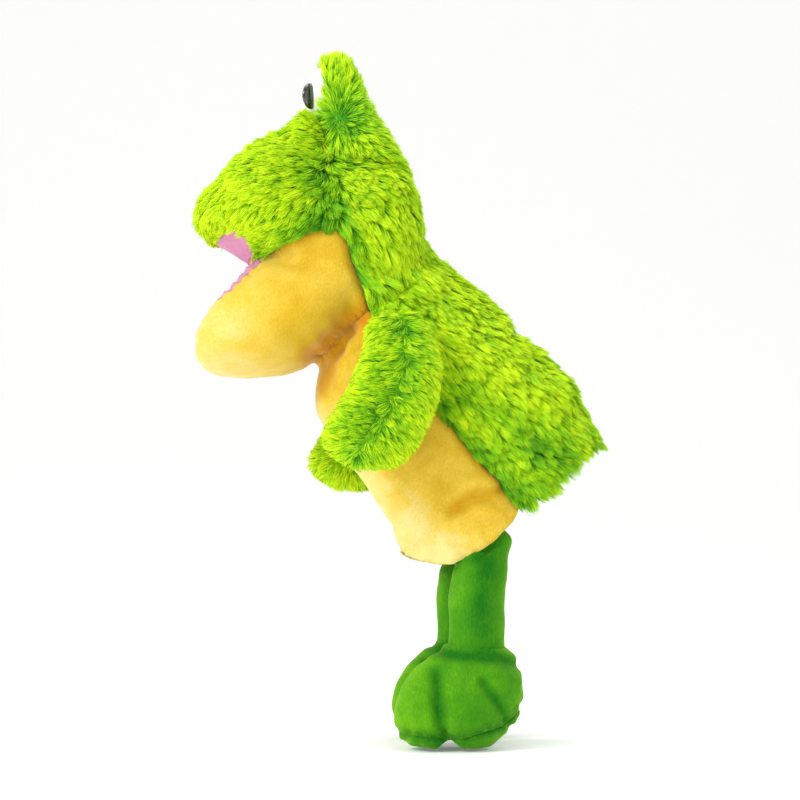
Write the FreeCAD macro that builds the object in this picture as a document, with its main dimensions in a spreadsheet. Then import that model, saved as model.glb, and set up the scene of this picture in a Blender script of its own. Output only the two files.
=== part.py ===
import FreeCAD, Part
import os
import Sketcher

# Plush frog hand puppet. Millimetres. The puppet faces -Y with +Z up, its own left side is +X,
# X = 0 is its plane of symmetry, and the origin is the centre of the hand opening at the hem.

# Driving sizes: name, value, meaning. Angles are in degrees.
SIZES = [
    ("cover_thickness", 3.0, "sewn cover with the root of its pile"),
    ("lining_thickness", 1.2, "lining cloth"),
    ("skin_thickness", 1.5, "short pile cloth of the legs and feet"),
    ("fold_gap", 0.5, "gap between the mouth fold and each mouth lining"),
    # sleeve, from the hem up
    ("sleeve_half_width", 42.0, "half width of the sleeve"),
    ("shoulder_half_width", 38.0, "half width where the sleeve meets the neck"),
    ("seam_y", 10.0, "side seam at the hem"),
    ("seam_z", 1.0, "side seam at the hem"),
    ("seam_slope", 50.8, "slope of the side seam"),
    # neck
    ("neck_y", -72.0, "neck hinge"),
    ("neck_z", 111.0, "neck hinge"),
    ("neck_radius", 47.0, "reach of the neck about its hinge"),
    ("neck_gap", 1.2, "gap round the neck"),
    ("neck_tilt", 44.5, "tilt of the throat's section"),
    ("neck_half_depth", 45.0, "half depth of the throat"),
    ("neck_half_width", 41.0, "half width of the throat"),
    ("neck_seam_y", -78.0, "seam of throat and nape at the height of the neck hinge"),
    ("neck_seam_slope", 109.5, "slope of that seam"),
    ("throat_wall", 4.0, "thickness of the throat cloth with its gathers"),
    ("throat_slope", 59.0, "slope of the chest below the throat"),
    # mouth
    ("fold_y", -136.4, "mouth fold, which is the jaw hinge"),
    ("fold_z", 132.6, "mouth fold, which is the jaw hinge"),
    ("palate_rise", 24.5, "slope of the upper mouth"),
    ("jaw_drop", 46.5, "slope of the lower mouth"),
    ("mouth_half_width", 33.0, "half width of the mouth linings"),
    ("palate_depth", 30.0, "fold to upper lip"),
    ("tongue_depth", 38.5, "fold to lower lip"),
    ("board_thickness", 1.6, "felt board behind a mouth lining"),
    ("board_margin", 2.0, "mouth lining beyond its board"),
    ("cheek_floor_z", 133.0, "lower edge of the head cover at the cheeks"),
    # pockets for the fingers and the thumb
    ("finger_half_width", 31.0, "half width of the finger pocket"),
    ("finger_height", 24.0, "height of the finger pocket"),
    ("finger_reach", 22.0, "finger pocket in front of the fold"),
    ("finger_length", 54.0, "length of the finger pocket"),
    ("thumb_half_width", 18.0, "half width of the thumb pocket"),
    ("thumb_height", 22.0, "height of the thumb pocket"),
    ("thumb_reach", 42.0, "thumb pocket in front of the fold"),
    ("thumb_length", 28.0, "length of the thumb pocket"),
    ("padding_gap", 0.4, "gap between padding and what it lies on"),
    # jaw
    ("jaw_y", -136.0, "centre of the jaw pouch"),
    ("jaw_z", 103.0, "centre of the jaw pouch"),
    ("jaw_swell", 78.0, "half width of the round that the pouch is cut from"),
    ("jaw_half_width", 42.0, "half width of the jaw between its flat sides"),
    ("jaw_half_length", 36.0, "jaw pouch"),
    ("jaw_half_height", 34.0, "jaw pouch"),
    ("jaw_back", 70.0, "slope of the back of the jaw"),
    ("jaw_room", 8.0, "angle kept free behind the jaw"),
    # eyes
    ("eye_x", 24.0, "centre of an eye"),
    ("eye_y", -99.0, "back of an eyeball"),
    ("eye_z", 225.0, "centre of an eye"),
    ("eye_half_width", 16.0, "eyeball"),
    ("eye_half_height", 20.0, "eyeball"),
    ("eye_bulge", 14.0, "eyeball, front of its back face"),
    ("pupil_y", -106.0, "centre of a pupil"),
    ("pupil_z", 225.0, "centre of a pupil"),
    ("pupil_half_width", 9.5, "pupil"),
    ("pupil_half_height", 9.0, "pupil"),
    ("pupil_bulge", 8.5, "pupil, before the part inside the eyeball is cut away"),
    ("stem_radius", 2.5, "stem of an eyeball"),
    ("stem_length", 15.0, "stem of an eyeball"),
    ("washer_radius", 8.0, "lock washer"),
    ("washer_thickness", 1.5, "lock washer"),
    ("washer_inset", 2.0, "stem beyond the washer"),
    ("hood_y", -92.0, "centre of an eye hood"),
    ("hood_z", 217.0, "centre of an eye hood"),
    ("hood_half_width", 20.0, "eye hood"),
    ("hood_half_height", 32.0, "eye hood"),
    ("hood_half_depth", 17.0, "eye hood"),
    ("eye_gap", 0.3, "gap round an eyeball in its hood"),
    # arms
    ("arm_gap", 2.0, "gap between the sleeve and an arm"),
    ("arm_y", -68.0, "centre of an arm"),
    ("arm_z", 62.0, "centre of an arm"),
    ("arm_lean", 19.0, "lean of an arm, foot end forward"),
    ("arm_half_length", 46.0, "arm"),
    ("arm_half_depth", 26.0, "arm"),
    ("arm_half_thickness", 11.0, "arm"),
    # legs
    ("leg_x", 30.0, "centre of a leg"),
    ("leg_y", -16.0, "centre of a leg"),
    ("leg_top_z", -31.0, "top of a leg"),
    ("leg_length", 49.0, "leg, hip to ankle"),
    ("leg_half_depth", 17.0, "leg"),
    ("leg_half_width", 13.0, "leg"),
    ("leg_round", 5.0, "rounding of a leg's two ends"),
    ("strap_width", 10.0, "strap that carries a leg"),
    ("strap_thickness", 2.0, "strap that carries a leg"),
    ("strap_inset", 5.2, "middle of a strap inside the lining at its widest"),
    ("strap_top_z", 6.0, "upper end of a strap"),
    ("hip_gap", 3.0, "strap to leg"),
    # feet
    ("ankle_gap", 4.0, "leg to foot"),
    ("sole_thickness", 3.0, "sole"),
]

# Sleeve sections, hem to shoulder: name, centre y, centre z, tilt, half depth.
SLEEVE = [
    ("hem", 0.0, -1.5, 32.0, 61.0),
    ("hip", -8.5, 27.5, 25.2, 64.0),
    ("waist", -26.0, 54.0, 22.5, 62.8),
    ("chest", -49.0, 78.0, 19.3, 60.4),
    ("shoulder", -63.0, 103.0, 28.0, 48.8),
]

# Head sections, back to front: name, centre y, centre z, half width, half height.
HEAD = [
    ("nape", -46.0, 152.0, 28.0, 20.0),
    ("crown", -60.0, 151.0, 44.0, 41.0),
    ("brow", -85.0, 150.0, 49.0, 46.0),
    ("cheek", -115.0, 150.0, 50.0, 46.0),
    ("snout", -143.0, 149.0, 45.0, 38.0),
    ("muzzle", -160.0, 151.0, 33.0, 23.0),
    ("tip", -167.0, 153.0, 18.0, 11.0),
]

# Foot sections, sole to ankle: name, z, centre y, half length, half width. The ankle's z
# follows from the leg.
FOOT = [
    ("tread", -126.0, -27.0, 33.0, 20.5),
    ("toe", -112.0, -27.5, 35.0, 22.5),
    ("instep", -96.0, -24.5, 30.5, 19.5),
    ("ankle", None, -18.0, 19.0, 14.0),
]

FAR = 260.0  # reach of a cutting block, beyond the whole puppet
SIDES = (("left", 1), ("right", -1))

doc = FreeCAD.newDocument("frog_hand_puppet")
sheet = doc.addObject("Spreadsheet::Sheet", "Sizes")
size = {}
nodes = []


def put(alias, value, meaning=""):
    """One driving size in the sheet."""
    row = len(size) + 1
    sheet.set(f"A{row}", alias)
    sheet.set(f"B{row}", str(value))
    sheet.set(f"C{row}", meaning)
    sheet.setAlias(f"B{row}", alias)
    size[alias] = value


def fill_sheet():
    for alias, value, meaning in SIZES:
        put(alias, value, meaning)
    for name, y, z, tilt, half_depth in SLEEVE:
        put(f"{name}_y", y, "sleeve section")
        put(f"{name}_z", z, "sleeve section")
        put(f"{name}_tilt", tilt, "sleeve section")
        put(f"{name}_half_depth", half_depth, "sleeve section")
    for name, y, z, half_width, half_height in HEAD:
        put(f"{name}_y", y, "head section")
        put(f"{name}_z", z, "head section")
        put(f"{name}_half_width", half_width, "head section")
        put(f"{name}_half_height", half_height, "head section")
    for name, z, y, half_length, half_width in FOOT:
        if z is not None:
            put(f"{name}_z", z, "foot section")
        put(f"{name}_y", y, "foot section")
        put(f"{name}_half_length", half_length, "foot section")
        put(f"{name}_half_width", half_width, "foot section")
    doc.recompute()


def minus(alias, *insets):
    """An expression for one size less some others, and its value."""
    expression = " - ".join(f"Sizes.{word}" for word in (alias, *insets))
    return expression, size[alias] - sum(size[word] for word in insets)


def pose(thing, y, z, roll="0", x="0", yaw="0", pitch="0", shift="0;0;0"):
    """Place a thing at (x, y, z), turned by roll about X, then slid by shift in its own axes."""
    place = f"placement(vector({x};{y};{z});rotation({yaw};{pitch};{roll}))"
    slide = f"placement(vector({shift});rotation(0;0;0))"
    thing.setExpression("Placement", f"{place} * {slide}")
    return thing


def add(kind, label, **bound):
    """A document object with its properties bound to expressions."""
    thing = doc.addObject(kind, label)
    for name, expression in bound.items():
        thing.setExpression(name, expression)
    return thing


def node(thing, label):
    """Keep a thing as a sub-part that is written to a file."""
    thing.Label = label
    nodes.append(thing)
    return thing


def cut(label, base, *tools):
    """Base less each tool."""
    for i, tool in enumerate(tools):
        step = doc.addObject("Part::Cut", f"{label}_cut{i}")
        step.Base, step.Tool = base, tool
        base = step
    return base


def common(label, *things):
    """What all the things share."""
    base = things[0]
    for i, tool in enumerate(things[1:]):
        step = doc.addObject("Part::Common", f"{label}_common{i}")
        step.Base, step.Tool = base, tool
        base = step
    return base


def block(label, length, width, height, **place):
    """A box with its corner at its place, bound to expressions."""
    thing = add("Part::Box", label, Length=length, Width=width, Height=height)
    return pose(thing, **place)


def oval(label, along, across, y, z, standing=False, tilt="0"):
    """An ellipse across X. A standing one faces Y, the others lie flat but for their tilt.

    along is its half size in the YZ plane and across its half size in X, each an expression
    with its value. The longer one has to be the major radius.
    """
    major_across = across[1] > along[1]
    major, minor = (across, along) if major_across else (along, across)
    ring = add("Part::Ellipse", label)
    ring.MajorRadius, ring.MinorRadius = major[1], minor[1]
    ring.setExpression("MajorRadius", major[0])
    ring.setExpression("MinorRadius", minor[0])
    rise = "90" if standing else tilt
    if major_across:
        return pose(ring, y, z, roll=rise)
    return pose(ring, y, z, yaw="90", pitch=f"-({rise})")


def loft(label, sections):
    """A solid skin through sections."""
    thing = doc.addObject("Part::Loft", label)
    thing.Sections, thing.Solid, thing.Ruled = sections, True, False
    return thing


def ellipsoid(label, x, y, z, half_x, half_y, half_z, roll="0"):
    thing = add("Part::Ellipsoid", label, Radius1=half_z, Radius2=half_x, Radius3=half_y)
    thing.Angle1, thing.Angle2, thing.Angle3 = -90, 90, 360
    return pose(thing, y, z, roll=roll, x=x)


def rod(label, radius, length, x, y, z, pitch="0", roll="0", shift="0;0;0"):
    """A cylinder from its place along its own Z."""
    thing = add("Part::Cylinder", label, Radius=radius, Height=length)
    return pose(thing, y, z, x=x, pitch=pitch, roll=roll, shift=shift)


def sketch_on(body, label, role):
    """A sketch on one of its own body's origin planes."""
    sketch = body.newObject("Sketcher::SketchObject", label)
    plane = [feature for feature in body.Origin.OriginFeatures if feature.Role == role][0]
    sketch.AttachmentSupport = [(plane, "")]
    sketch.MapMode = "FlatFace"
    return sketch


def outline(sketch, corners):
    """A closed outline whose corners are each a pair of (expression, value)."""
    count = len(corners)
    points = [FreeCAD.Vector(x[1], y[1], 0) for x, y in corners]
    for i in range(count):
        sketch.addGeometry(Part.LineSegment(points[i], points[(i + 1) % count]), False)
    for i in range(count):
        sketch.addConstraint(Sketcher.Constraint("Coincident", i, 2, (i + 1) % count, 1))
    for i, corner in enumerate(corners):
        for axis, (expression, value) in zip(("DistanceX", "DistanceY"), corner):
            number = sketch.addConstraint(Sketcher.Constraint(axis, -1, 1, i, 1, value))
            sketch.setExpression(f"Constraints[{number}]", expression)


def negative(pair):
    expression, value = pair
    return f"-({expression})", -value


def flat_outline(half_width, front, back):
    """Corners of a tongue shape: square at the back, two chamfers at the front, forward is -Y."""
    corner = (f"({half_width[0]}) * 0.45", half_width[1] * 0.45)
    cheek = (f"-({front[0]}) * 0.55", -front[1] * 0.55)
    left, right = half_width, negative(half_width)
    return [
        (left, back),
        (left, cheek),
        (corner, negative(front)),
        (negative(corner), negative(front)),
        (right, cheek),
        (right, back),
    ]


def plate(label, half_width, front, back, thickness, place):
    """A flat tongue-shaped piece that is thick along its own Z."""
    body = doc.addObject("PartDesign::Body", label)
    sketch = sketch_on(body, f"{label}_outline", "XY_Plane")
    outline(sketch, flat_outline(half_width, front, back))
    pad = body.newObject("PartDesign::Pad", f"{label}_pad")
    pad.Profile = sketch
    pad.setExpression("Length", thickness)
    pose(body, **place)
    return body


def half(label, side, **place):
    """A block over one side of the puppet, above the plane that its place turns."""
    corner = "0" if side > 0 else f"-{FAR}"
    return block(
        label, f"{FAR}", f"{2 * FAR}", f"{FAR}", shift=f"{corner};-{FAR};0", **place
    )


def whole(label, shift_z, **place):
    """A block over both sides of a plane that its place turns, from shift_z up."""
    return block(
        label, f"{2 * FAR}", f"{2 * FAR}", f"{FAR}", shift=f"-{FAR};-{FAR};{shift_z}", **place
    )


def sleeve_loft(label, *insets):
    """The sleeve's solid outline, inset by some thicknesses."""
    sections = []
    for name, *_ in SLEEVE:
        width = "shoulder_half_width" if name == "shoulder" else "sleeve_half_width"
        sections.append(
            oval(
                f"{label}_{name}",
                minus(f"{name}_half_depth", *insets),
                minus(width, *insets),
                f"Sizes.{name}_y",
                f"Sizes.{name}_z",
                tilt=f"Sizes.{name}_tilt",
            )
        )
    return loft(label, sections)


def build_body():
    """Back cover in two halves, belly panel, lining, and the straps that carry the legs."""
    outside = sleeve_loft("sleeve_outside")
    cover_inside = sleeve_loft("sleeve_cover_inside", "cover_thickness")
    hollow = sleeve_loft("sleeve_hollow", "cover_thickness", "lining_thickness")
    neck = {"y": "Sizes.neck_y", "z": "Sizes.neck_z"}
    neck_room = rod(
        "neck_room", "Sizes.neck_radius + Sizes.neck_gap", f"{FAR}", x=f"-{FAR} / 2", pitch="90", **neck
    )
    chin_room = block(
        "chin_room",
        f"{2 * FAR}",
        f"{FAR}",
        f"{FAR}",
        roll="Sizes.throat_slope - 270",
        shift=f"-{FAR};0;0",
        **neck,
    )
    seam = {"y": "Sizes.seam_y", "z": "Sizes.seam_z"}
    cover = cut("cover", outside, cover_inside, neck_room, chin_room)
    lining = cut("lining", cover_inside, hollow, neck_room, chin_room)
    for word, side in SIDES:
        region = half(f"back_region_{word}", side, roll="-Sizes.seam_slope", **seam)
        node(common(f"back_{word}", cover, region), f"back_cover_{word}")
    below = whole("belly_region", "0", roll="180 - Sizes.seam_slope", **seam)
    node(common("belly", cover, below), "belly_panel")
    node(lining, "sleeve_lining")
    for word, side in SIDES:
        node(leg_strap(word, side), f"leg_strap_{word}")


def leg_strap(word, side):
    """A short strap from inside the hem down to the top of a leg."""
    body = doc.addObject("PartDesign::Body", f"strap_{word}")
    sketch = sketch_on(body, f"strap_{word}_outline", "YZ_Plane")
    half_width = ("Sizes.strap_width / 2", size["strap_width"] / 2)
    top = ("Sizes.strap_top_z", size["strap_top_z"])
    low = ("Sizes.leg_top_z + Sizes.hip_gap", size["leg_top_z"] + size["hip_gap"])
    front = (f"Sizes.leg_y - {half_width[0]}", size["leg_y"] - half_width[1])
    back = (f"Sizes.leg_y + {half_width[0]}", size["leg_y"] + half_width[1])
    outline(sketch, [(front, low), (back, low), (back, top), (front, top)])
    pad = body.newObject("PartDesign::Pad", f"strap_{word}_pad")
    pad.Profile = sketch
    pad.setExpression("Length", "Sizes.strap_thickness")
    pad.Midplane = True
    reach = (
        "Sizes.sleeve_half_width - Sizes.cover_thickness - Sizes.lining_thickness - Sizes.strap_inset"
    )
    return pose(body, "0", "0", x=f"{side} * ({reach})")


PALATE = {"y": "Sizes.fold_y", "z": "Sizes.fold_z", "roll": "-Sizes.palate_rise"}
TONGUE = {"y": "Sizes.fold_y", "z": "Sizes.fold_z", "roll": "Sizes.jaw_drop"}
LINING_TOP = "Sizes.fold_gap + Sizes.lining_thickness"
BOARD_TOP = f"{LINING_TOP} + Sizes.board_thickness"
FINGER_TOP = f"{BOARD_TOP} + Sizes.finger_height"
THUMB_TOP = f"{BOARD_TOP} + Sizes.thumb_height"


def head_loft(label, *insets):
    """The head's solid outline, inset by some thicknesses on every side."""
    inset = " + ".join(["0", *(f"Sizes.{word}" for word in insets)])
    ends = {HEAD[0][0]: f" - ({inset})", HEAD[-1][0]: f" + ({inset})"}
    sections = []
    for name, *_ in HEAD:
        sections.append(
            oval(
                f"{label}_{name}",
                minus(f"{name}_half_height", *insets),
                minus(f"{name}_half_width", *insets),
                f"Sizes.{name}_y{ends.get(name, '')}",
                f"Sizes.{name}_z",
                standing=True,
            )
        )
    return loft(label, sections)


def pocket(label, half_width, reach, length, height, floor, frame):
    """A flat pouch for fingers, open at the back, on a floor above or below a mouth board."""
    wall = "Sizes.lining_thickness"
    front = (f"Sizes.{reach}", size[reach])
    back = (f"Sizes.{length} - Sizes.{reach}", size[length] - size[reach])
    outside = plate(
        f"{label}_outside",
        (f"Sizes.{half_width}", size[half_width]),
        front,
        back,
        f"Sizes.{height}",
        {**frame, "shift": f"0;0;{floor}"},
    )
    thickness = size["lining_thickness"]
    inside = plate(
        f"{label}_inside",
        (f"Sizes.{half_width} - {wall}", size[half_width] - thickness),
        (f"Sizes.{reach} - {wall}", size[reach] - thickness),
        (f"{back[0]} + {wall}", back[1] + thickness),
        f"Sizes.{height} - 2 * {wall}",
        {**frame, "shift": f"0;0;{floor} + {wall}"},
    )
    return cut(label, outside, inside)


def mouth_sheet(label, depth, margin, thickness, floor, frame):
    """A lining or board of the mouth, from the fold to the lip."""
    return plate(
        label,
        (f"Sizes.mouth_half_width - {margin[0]}", size["mouth_half_width"] - margin[1]),
        (f"Sizes.{depth} - {margin[0]}", size[depth] - margin[1]),
        ("-Sizes.fold_gap", -size["fold_gap"]),
        thickness,
        {**frame, "shift": f"0;0;{floor}"},
    )


def build_head():
    """Head cover in two halves, throat, upper mouth, finger pocket and padding."""
    outside = head_loft("head_outside")
    inside = head_loft("head_inside", "cover_thickness")
    stuffing = head_loft("head_stuffing", "cover_thickness", "padding_gap")
    below_palate = whole("below_palate", f"-{FAR}", **PALATE)
    below_cheeks = block(
        "below_cheeks",
        f"{2 * FAR}",
        f"{FAR}",
        f"{FAR}",
        y="Sizes.fold_y",
        z="Sizes.cheek_floor_z",
        shift=f"-{FAR};0;-{FAR}",
    )
    cover = cut("head_cover", outside, inside, below_palate, below_cheeks)
    for word, side in SIDES:
        region = half(f"head_region_{word}", side, y="0", z="0")
        node(common(f"head_{word}", cover, region), f"head_cover_{word}")

    no_margin = ("0", 0.0)
    margin = ("Sizes.board_margin", size["board_margin"])
    lining = mouth_sheet(
        "palate", "palate_depth", no_margin, "Sizes.lining_thickness", "Sizes.fold_gap", PALATE
    )
    node(lining, "upper_mouth_lining")
    board = mouth_sheet(
        "upper_board", "palate_depth", margin, "Sizes.board_thickness", LINING_TOP, PALATE
    )
    node(board, "upper_mouth_board")
    fingers = pocket(
        "fingers", "finger_half_width", "finger_reach", "finger_length", "finger_height", BOARD_TOP, PALATE
    )
    node(fingers, "finger_pocket")
    above_fingers = whole("above_fingers", f"{FINGER_TOP} + Sizes.padding_gap", **PALATE)
    padding = common("crown_padding", stuffing, above_fingers)
    node(cut("head_padding", padding, below_cheeks), "head_padding")
    band = neck_band(below_cheeks)
    split = {"y": "Sizes.neck_seam_y", "z": "Sizes.neck_z", "roll": "Sizes.neck_seam_slope"}
    nape_side = whole("nape_side", f"-{FAR}", **split)
    throat_side = whole("throat_side", "0", **split)
    node(common("throat", band, throat_side), "throat_panel")
    node(common("nape", band, nape_side), "nape_cover")
    return outside


def neck_band(below_cheeks):
    """The cloth round the neck, below the cheeks, open to the sleeve and to the mouth."""
    walls = []
    for label, insets in (("throat_outside", ()), ("throat_inside", ("throat_wall",))):
        ring = oval(
            f"{label}_ring",
            minus("neck_half_depth", *insets),
            minus("neck_half_width", *insets),
            "Sizes.neck_y",
            "Sizes.neck_z",
            tilt="Sizes.neck_tilt",
        )
        tube = doc.addObject("Part::Extrusion", label)
        tube.Base, tube.DirMode, tube.Solid = ring, "Normal", True
        tube.setExpression("LengthFwd", "2 * Sizes.neck_radius")
        tube.setExpression("LengthRev", "2 * Sizes.neck_radius")
        walls.append(tube)
    reach = rod(
        "neck_reach",
        "Sizes.neck_radius",
        f"{FAR}",
        y="Sizes.neck_y",
        z="Sizes.neck_z",
        x=f"-{FAR} / 2",
        pitch="90",
    )
    jaw_side = block(
        "jaw_side",
        f"{2 * FAR}",
        f"{FAR}",
        f"{FAR}",
        y="Sizes.fold_y",
        z="Sizes.fold_z",
        roll="Sizes.jaw_room - Sizes.jaw_back - 90",
        shift=f"-{FAR};0;0",
    )
    band = common("neck_band", cut("neck_tube", *walls), reach, below_cheeks)
    return cut("neck_band_trimmed", band, jaw_side)


def build_jaw():
    """Lower jaw cover, lower mouth, thumb pocket and chin padding."""
    pouches = []
    for label, insets in (
        ("jaw_outside", ()),
        ("jaw_inside", ("cover_thickness",)),
        ("jaw_stuffing", ("cover_thickness", "padding_gap")),
    ):
        swell, length, height, flat = (
            minus(word, *insets)[0]
            for word in ("jaw_swell", "jaw_half_length", "jaw_half_height", "jaw_half_width")
        )
        round_pouch = ellipsoid(
            f"{label}_round", "0", "Sizes.jaw_y", "Sizes.jaw_z", swell, length, height
        )
        flats = block(
            f"{label}_flats",
            f"2 * ({flat})",
            f"{2 * FAR}",
            f"{2 * FAR}",
            y="Sizes.jaw_y",
            z="Sizes.jaw_z",
            shift=f"-({flat});-{FAR};-{FAR}",
        )
        pouches.append(common(label, round_pouch, flats))
    outside, inside, stuffing = pouches
    below_lip = whole("below_lip", f"-{FAR} - Sizes.fold_gap", **TONGUE)
    before_back = whole(
        "before_back", f"-{FAR}", y="Sizes.fold_y", z="Sizes.fold_z", roll="-Sizes.jaw_back"
    )
    no_margin = ("0", 0.0)
    margin = ("Sizes.board_margin", size["board_margin"])
    lining = mouth_sheet(
        "tongue", "tongue_depth", no_margin, "Sizes.lining_thickness", f"-({LINING_TOP})", TONGUE
    )
    node(lining, "lower_mouth_lining")
    cover = cut("jaw_shell", cut("jaw_wall", outside, inside), lining)
    node(common("jaw_cover", cover, below_lip, before_back), "jaw_cover")
    board = mouth_sheet(
        "lower_board", "tongue_depth", margin, "Sizes.board_thickness", f"-({BOARD_TOP})", TONGUE
    )
    node(board, "lower_mouth_board")
    thumb = pocket(
        "thumb",
        "thumb_half_width",
        "thumb_reach",
        "thumb_length",
        "thumb_height",
        f"-({THUMB_TOP})",
        TONGUE,
    )
    node(thumb, "thumb_pocket")
    under_thumb = whole("under_thumb", f"-{FAR} - ({THUMB_TOP}) - Sizes.padding_gap", **TONGUE)
    node(common("chin", stuffing, under_thumb, before_back), "chin_padding")


def build_eye(word, side, head):
    """Eyeball with its stem, pupil, lock washer, fur hood and the hood's filling."""
    x = f"{side} * Sizes.eye_x"
    dome = ellipsoid(
        f"eye_round_{word}",
        x,
        "Sizes.eye_y",
        "Sizes.eye_z",
        "Sizes.eye_half_width",
        "Sizes.eye_bulge",
        "Sizes.eye_half_height",
    )
    before_eye = block(
        f"before_eye_{word}",
        f"{2 * FAR}",
        f"{FAR}",
        f"{2 * FAR}",
        y="Sizes.eye_y",
        z="0",
        shift=f"-{FAR};-{FAR};-{FAR}",
    )
    behind_eye = block(
        f"behind_eye_{word}",
        f"{2 * FAR}",
        f"{FAR}",
        f"{2 * FAR}",
        y="Sizes.eye_y + Sizes.eye_gap",
        z="0",
        shift=f"-{FAR};0;-{FAR}",
    )
    stem = rod(
        f"stem_{word}", "Sizes.stem_radius", "Sizes.stem_length", x, "Sizes.eye_y", "Sizes.eye_z", roll="-90"
    )
    eyeball = doc.addObject("Part::Fuse", f"ball_{word}")
    eyeball.Base, eyeball.Tool = common(f"dome_{word}", dome, before_eye), stem
    node(eyeball, f"eyeball_{word}")
    disc = ellipsoid(
        f"pupil_round_{word}",
        x,
        "Sizes.pupil_y",
        "Sizes.pupil_z",
        "Sizes.pupil_half_width",
        "Sizes.pupil_bulge",
        "Sizes.pupil_half_height",
    )
    node(cut(f"pupil_{word}", disc, dome), f"pupil_{word}")
    washer = lock_washer(word, x)
    node(washer, f"eye_washer_{word}")
    hoods = []
    for label, insets in (("hood", ()), ("hood_inside", ("cover_thickness",))):
        half_x, half_y, half_z = (
            minus(size_word, *insets)[0]
            for size_word in ("hood_half_width", "hood_half_depth", "hood_half_height")
        )
        hoods.append(
            ellipsoid(f"{label}_{word}", x, "Sizes.hood_y", "Sizes.hood_z", half_x, half_y, half_z)
        )
    outside, inside = hoods
    hood = common(f"hood_back_{word}", cut(f"hood_shell_{word}", outside, inside, head), behind_eye)
    node(hood, f"eye_hood_{word}")
    filling = common(f"hood_core_{word}", inside, behind_eye)
    node(cut(f"filling_{word}", filling, head, eyeball, washer), f"eye_filling_{word}")


def lock_washer(word, x):
    """A flat ring pressed on the stem behind the hood's filling."""
    body = doc.addObject("PartDesign::Body", f"washer_{word}")
    sketch = sketch_on(body, f"washer_{word}_rings", "XY_Plane")
    for i, radius in enumerate(("washer_radius", "stem_radius")):
        sketch.addGeometry(Part.Circle(FreeCAD.Vector(0, 0, 0), FreeCAD.Vector(0, 0, 1), size[radius]))
        sketch.addConstraint(Sketcher.Constraint("Coincident", i, 3, -1, 1))
        number = sketch.addConstraint(Sketcher.Constraint("Radius", i, size[radius]))
        sketch.setExpression(f"Constraints[{number}]", f"Sizes.{radius}")
    pad = body.newObject("PartDesign::Pad", f"washer_{word}_pad")
    pad.Profile = sketch
    pad.setExpression("Length", "Sizes.washer_thickness")
    inset = "Sizes.stem_length - Sizes.washer_inset - Sizes.washer_thickness"
    return pose(body, "Sizes.eye_y", "Sizes.eye_z", x=x, roll="-90", shift=f"0;0;{inset}")


def build_arm(word, side):
    """A flat oval arm: a closed cover full of filling."""
    x = f"{side} * (Sizes.sleeve_half_width + Sizes.arm_gap + Sizes.arm_half_thickness)"
    skins = []
    for label, insets in (("arm_outside", ()), ("arm_inside", ("cover_thickness",))):
        half_x, half_y, half_z = (
            minus(size_word, *insets)[0]
            for size_word in ("arm_half_thickness", "arm_half_depth", "arm_half_length")
        )
        skins.append(
            ellipsoid(
                f"{label}_{word}",
                x,
                "Sizes.arm_y",
                "Sizes.arm_z",
                half_x,
                half_y,
                half_z,
                roll="-Sizes.arm_lean",
            )
        )
    outside, inside = skins
    node(cut(f"arm_{word}", outside, inside), f"arm_cover_{word}")
    node(inside, f"arm_filling_{word}")


def build_leg(word, side):
    """A leg tube closed at both ends, and its filling."""
    x = f"{side} * Sizes.leg_x"
    skins = []
    for label, insets in (("leg_outside", ()), ("leg_inside", ("skin_thickness",))):
        inset = " + ".join(["0", *(f"Sizes.{name}" for name in insets)])
        levels = (
            (f"Sizes.leg_top_z - ({inset})", ("leg_round",)),
            ("Sizes.leg_top_z - Sizes.leg_round", ()),
            ("Sizes.leg_top_z - Sizes.leg_length + Sizes.leg_round", ()),
            (f"Sizes.leg_top_z - Sizes.leg_length + ({inset})", ("leg_round",)),
        )
        sections = [
            pose_x(
                oval(
                    f"{label}_{word}_{i}",
                    minus("leg_half_depth", *insets, *rounding),
                    minus("leg_half_width", *insets, *rounding),
                    "Sizes.leg_y",
                    z,
                ),
                x,
                "Sizes.leg_y",
                z,
            )
            for i, (z, rounding) in enumerate(levels)
        ]
        thing = loft(f"{label}_{word}", sections)
        thing.Ruled = True
        skins.append(thing)
    outside, inside = skins
    node(cut(f"leg_{word}", outside, inside), f"leg_cover_{word}")
    node(inside, f"leg_filling_{word}")


def pose_x(ring, x, y, z):
    """Move a flat section that is longer along Y off the plane of symmetry."""
    return pose(ring, y, z, x=x, yaw="90")


def build_foot(word, side):
    """A foot's upper, its filling and its sole."""
    x = f"{side} * Sizes.leg_x"
    top = "Sizes.leg_top_z - Sizes.leg_length - Sizes.ankle_gap"
    skins = []
    for label, insets in (("foot_outside", ()), ("foot_inside", ("skin_thickness",))):
        inset = " + ".join(["0", *(f"Sizes.{name}" for name in insets)])
        sections = []
        for name, level, *_ in FOOT:
            y = f"Sizes.{name}_y"
            z = f"{top} - ({inset})" if level is None else f"Sizes.{name}_z"
            length = minus(f"{name}_half_length", *insets)
            width = minus(f"{name}_half_width", *insets)
            sections.append(pose_x(oval(f"{label}_{word}_{name}", length, width, y, z), x, y, z))
        skins.append(loft(f"{label}_{word}", sections))
    outside, inside = skins
    node(cut(f"foot_{word}", outside, inside), f"foot_upper_{word}")
    node(inside, f"foot_filling_{word}")
    tread = pose_x(
        oval(
            f"sole_{word}_ring",
            minus("tread_half_length"),
            minus("tread_half_width"),
            "Sizes.tread_y",
            "Sizes.tread_z",
        ),
        x,
        "Sizes.tread_y",
        "Sizes.tread_z",
    )
    sole = doc.addObject("Part::Extrusion", f"sole_{word}")
    sole.Base, sole.DirMode, sole.Solid = tread, "Normal", True
    sole.setExpression("LengthRev", "Sizes.sole_thickness")
    node(sole, f"foot_sole_{word}")


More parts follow.
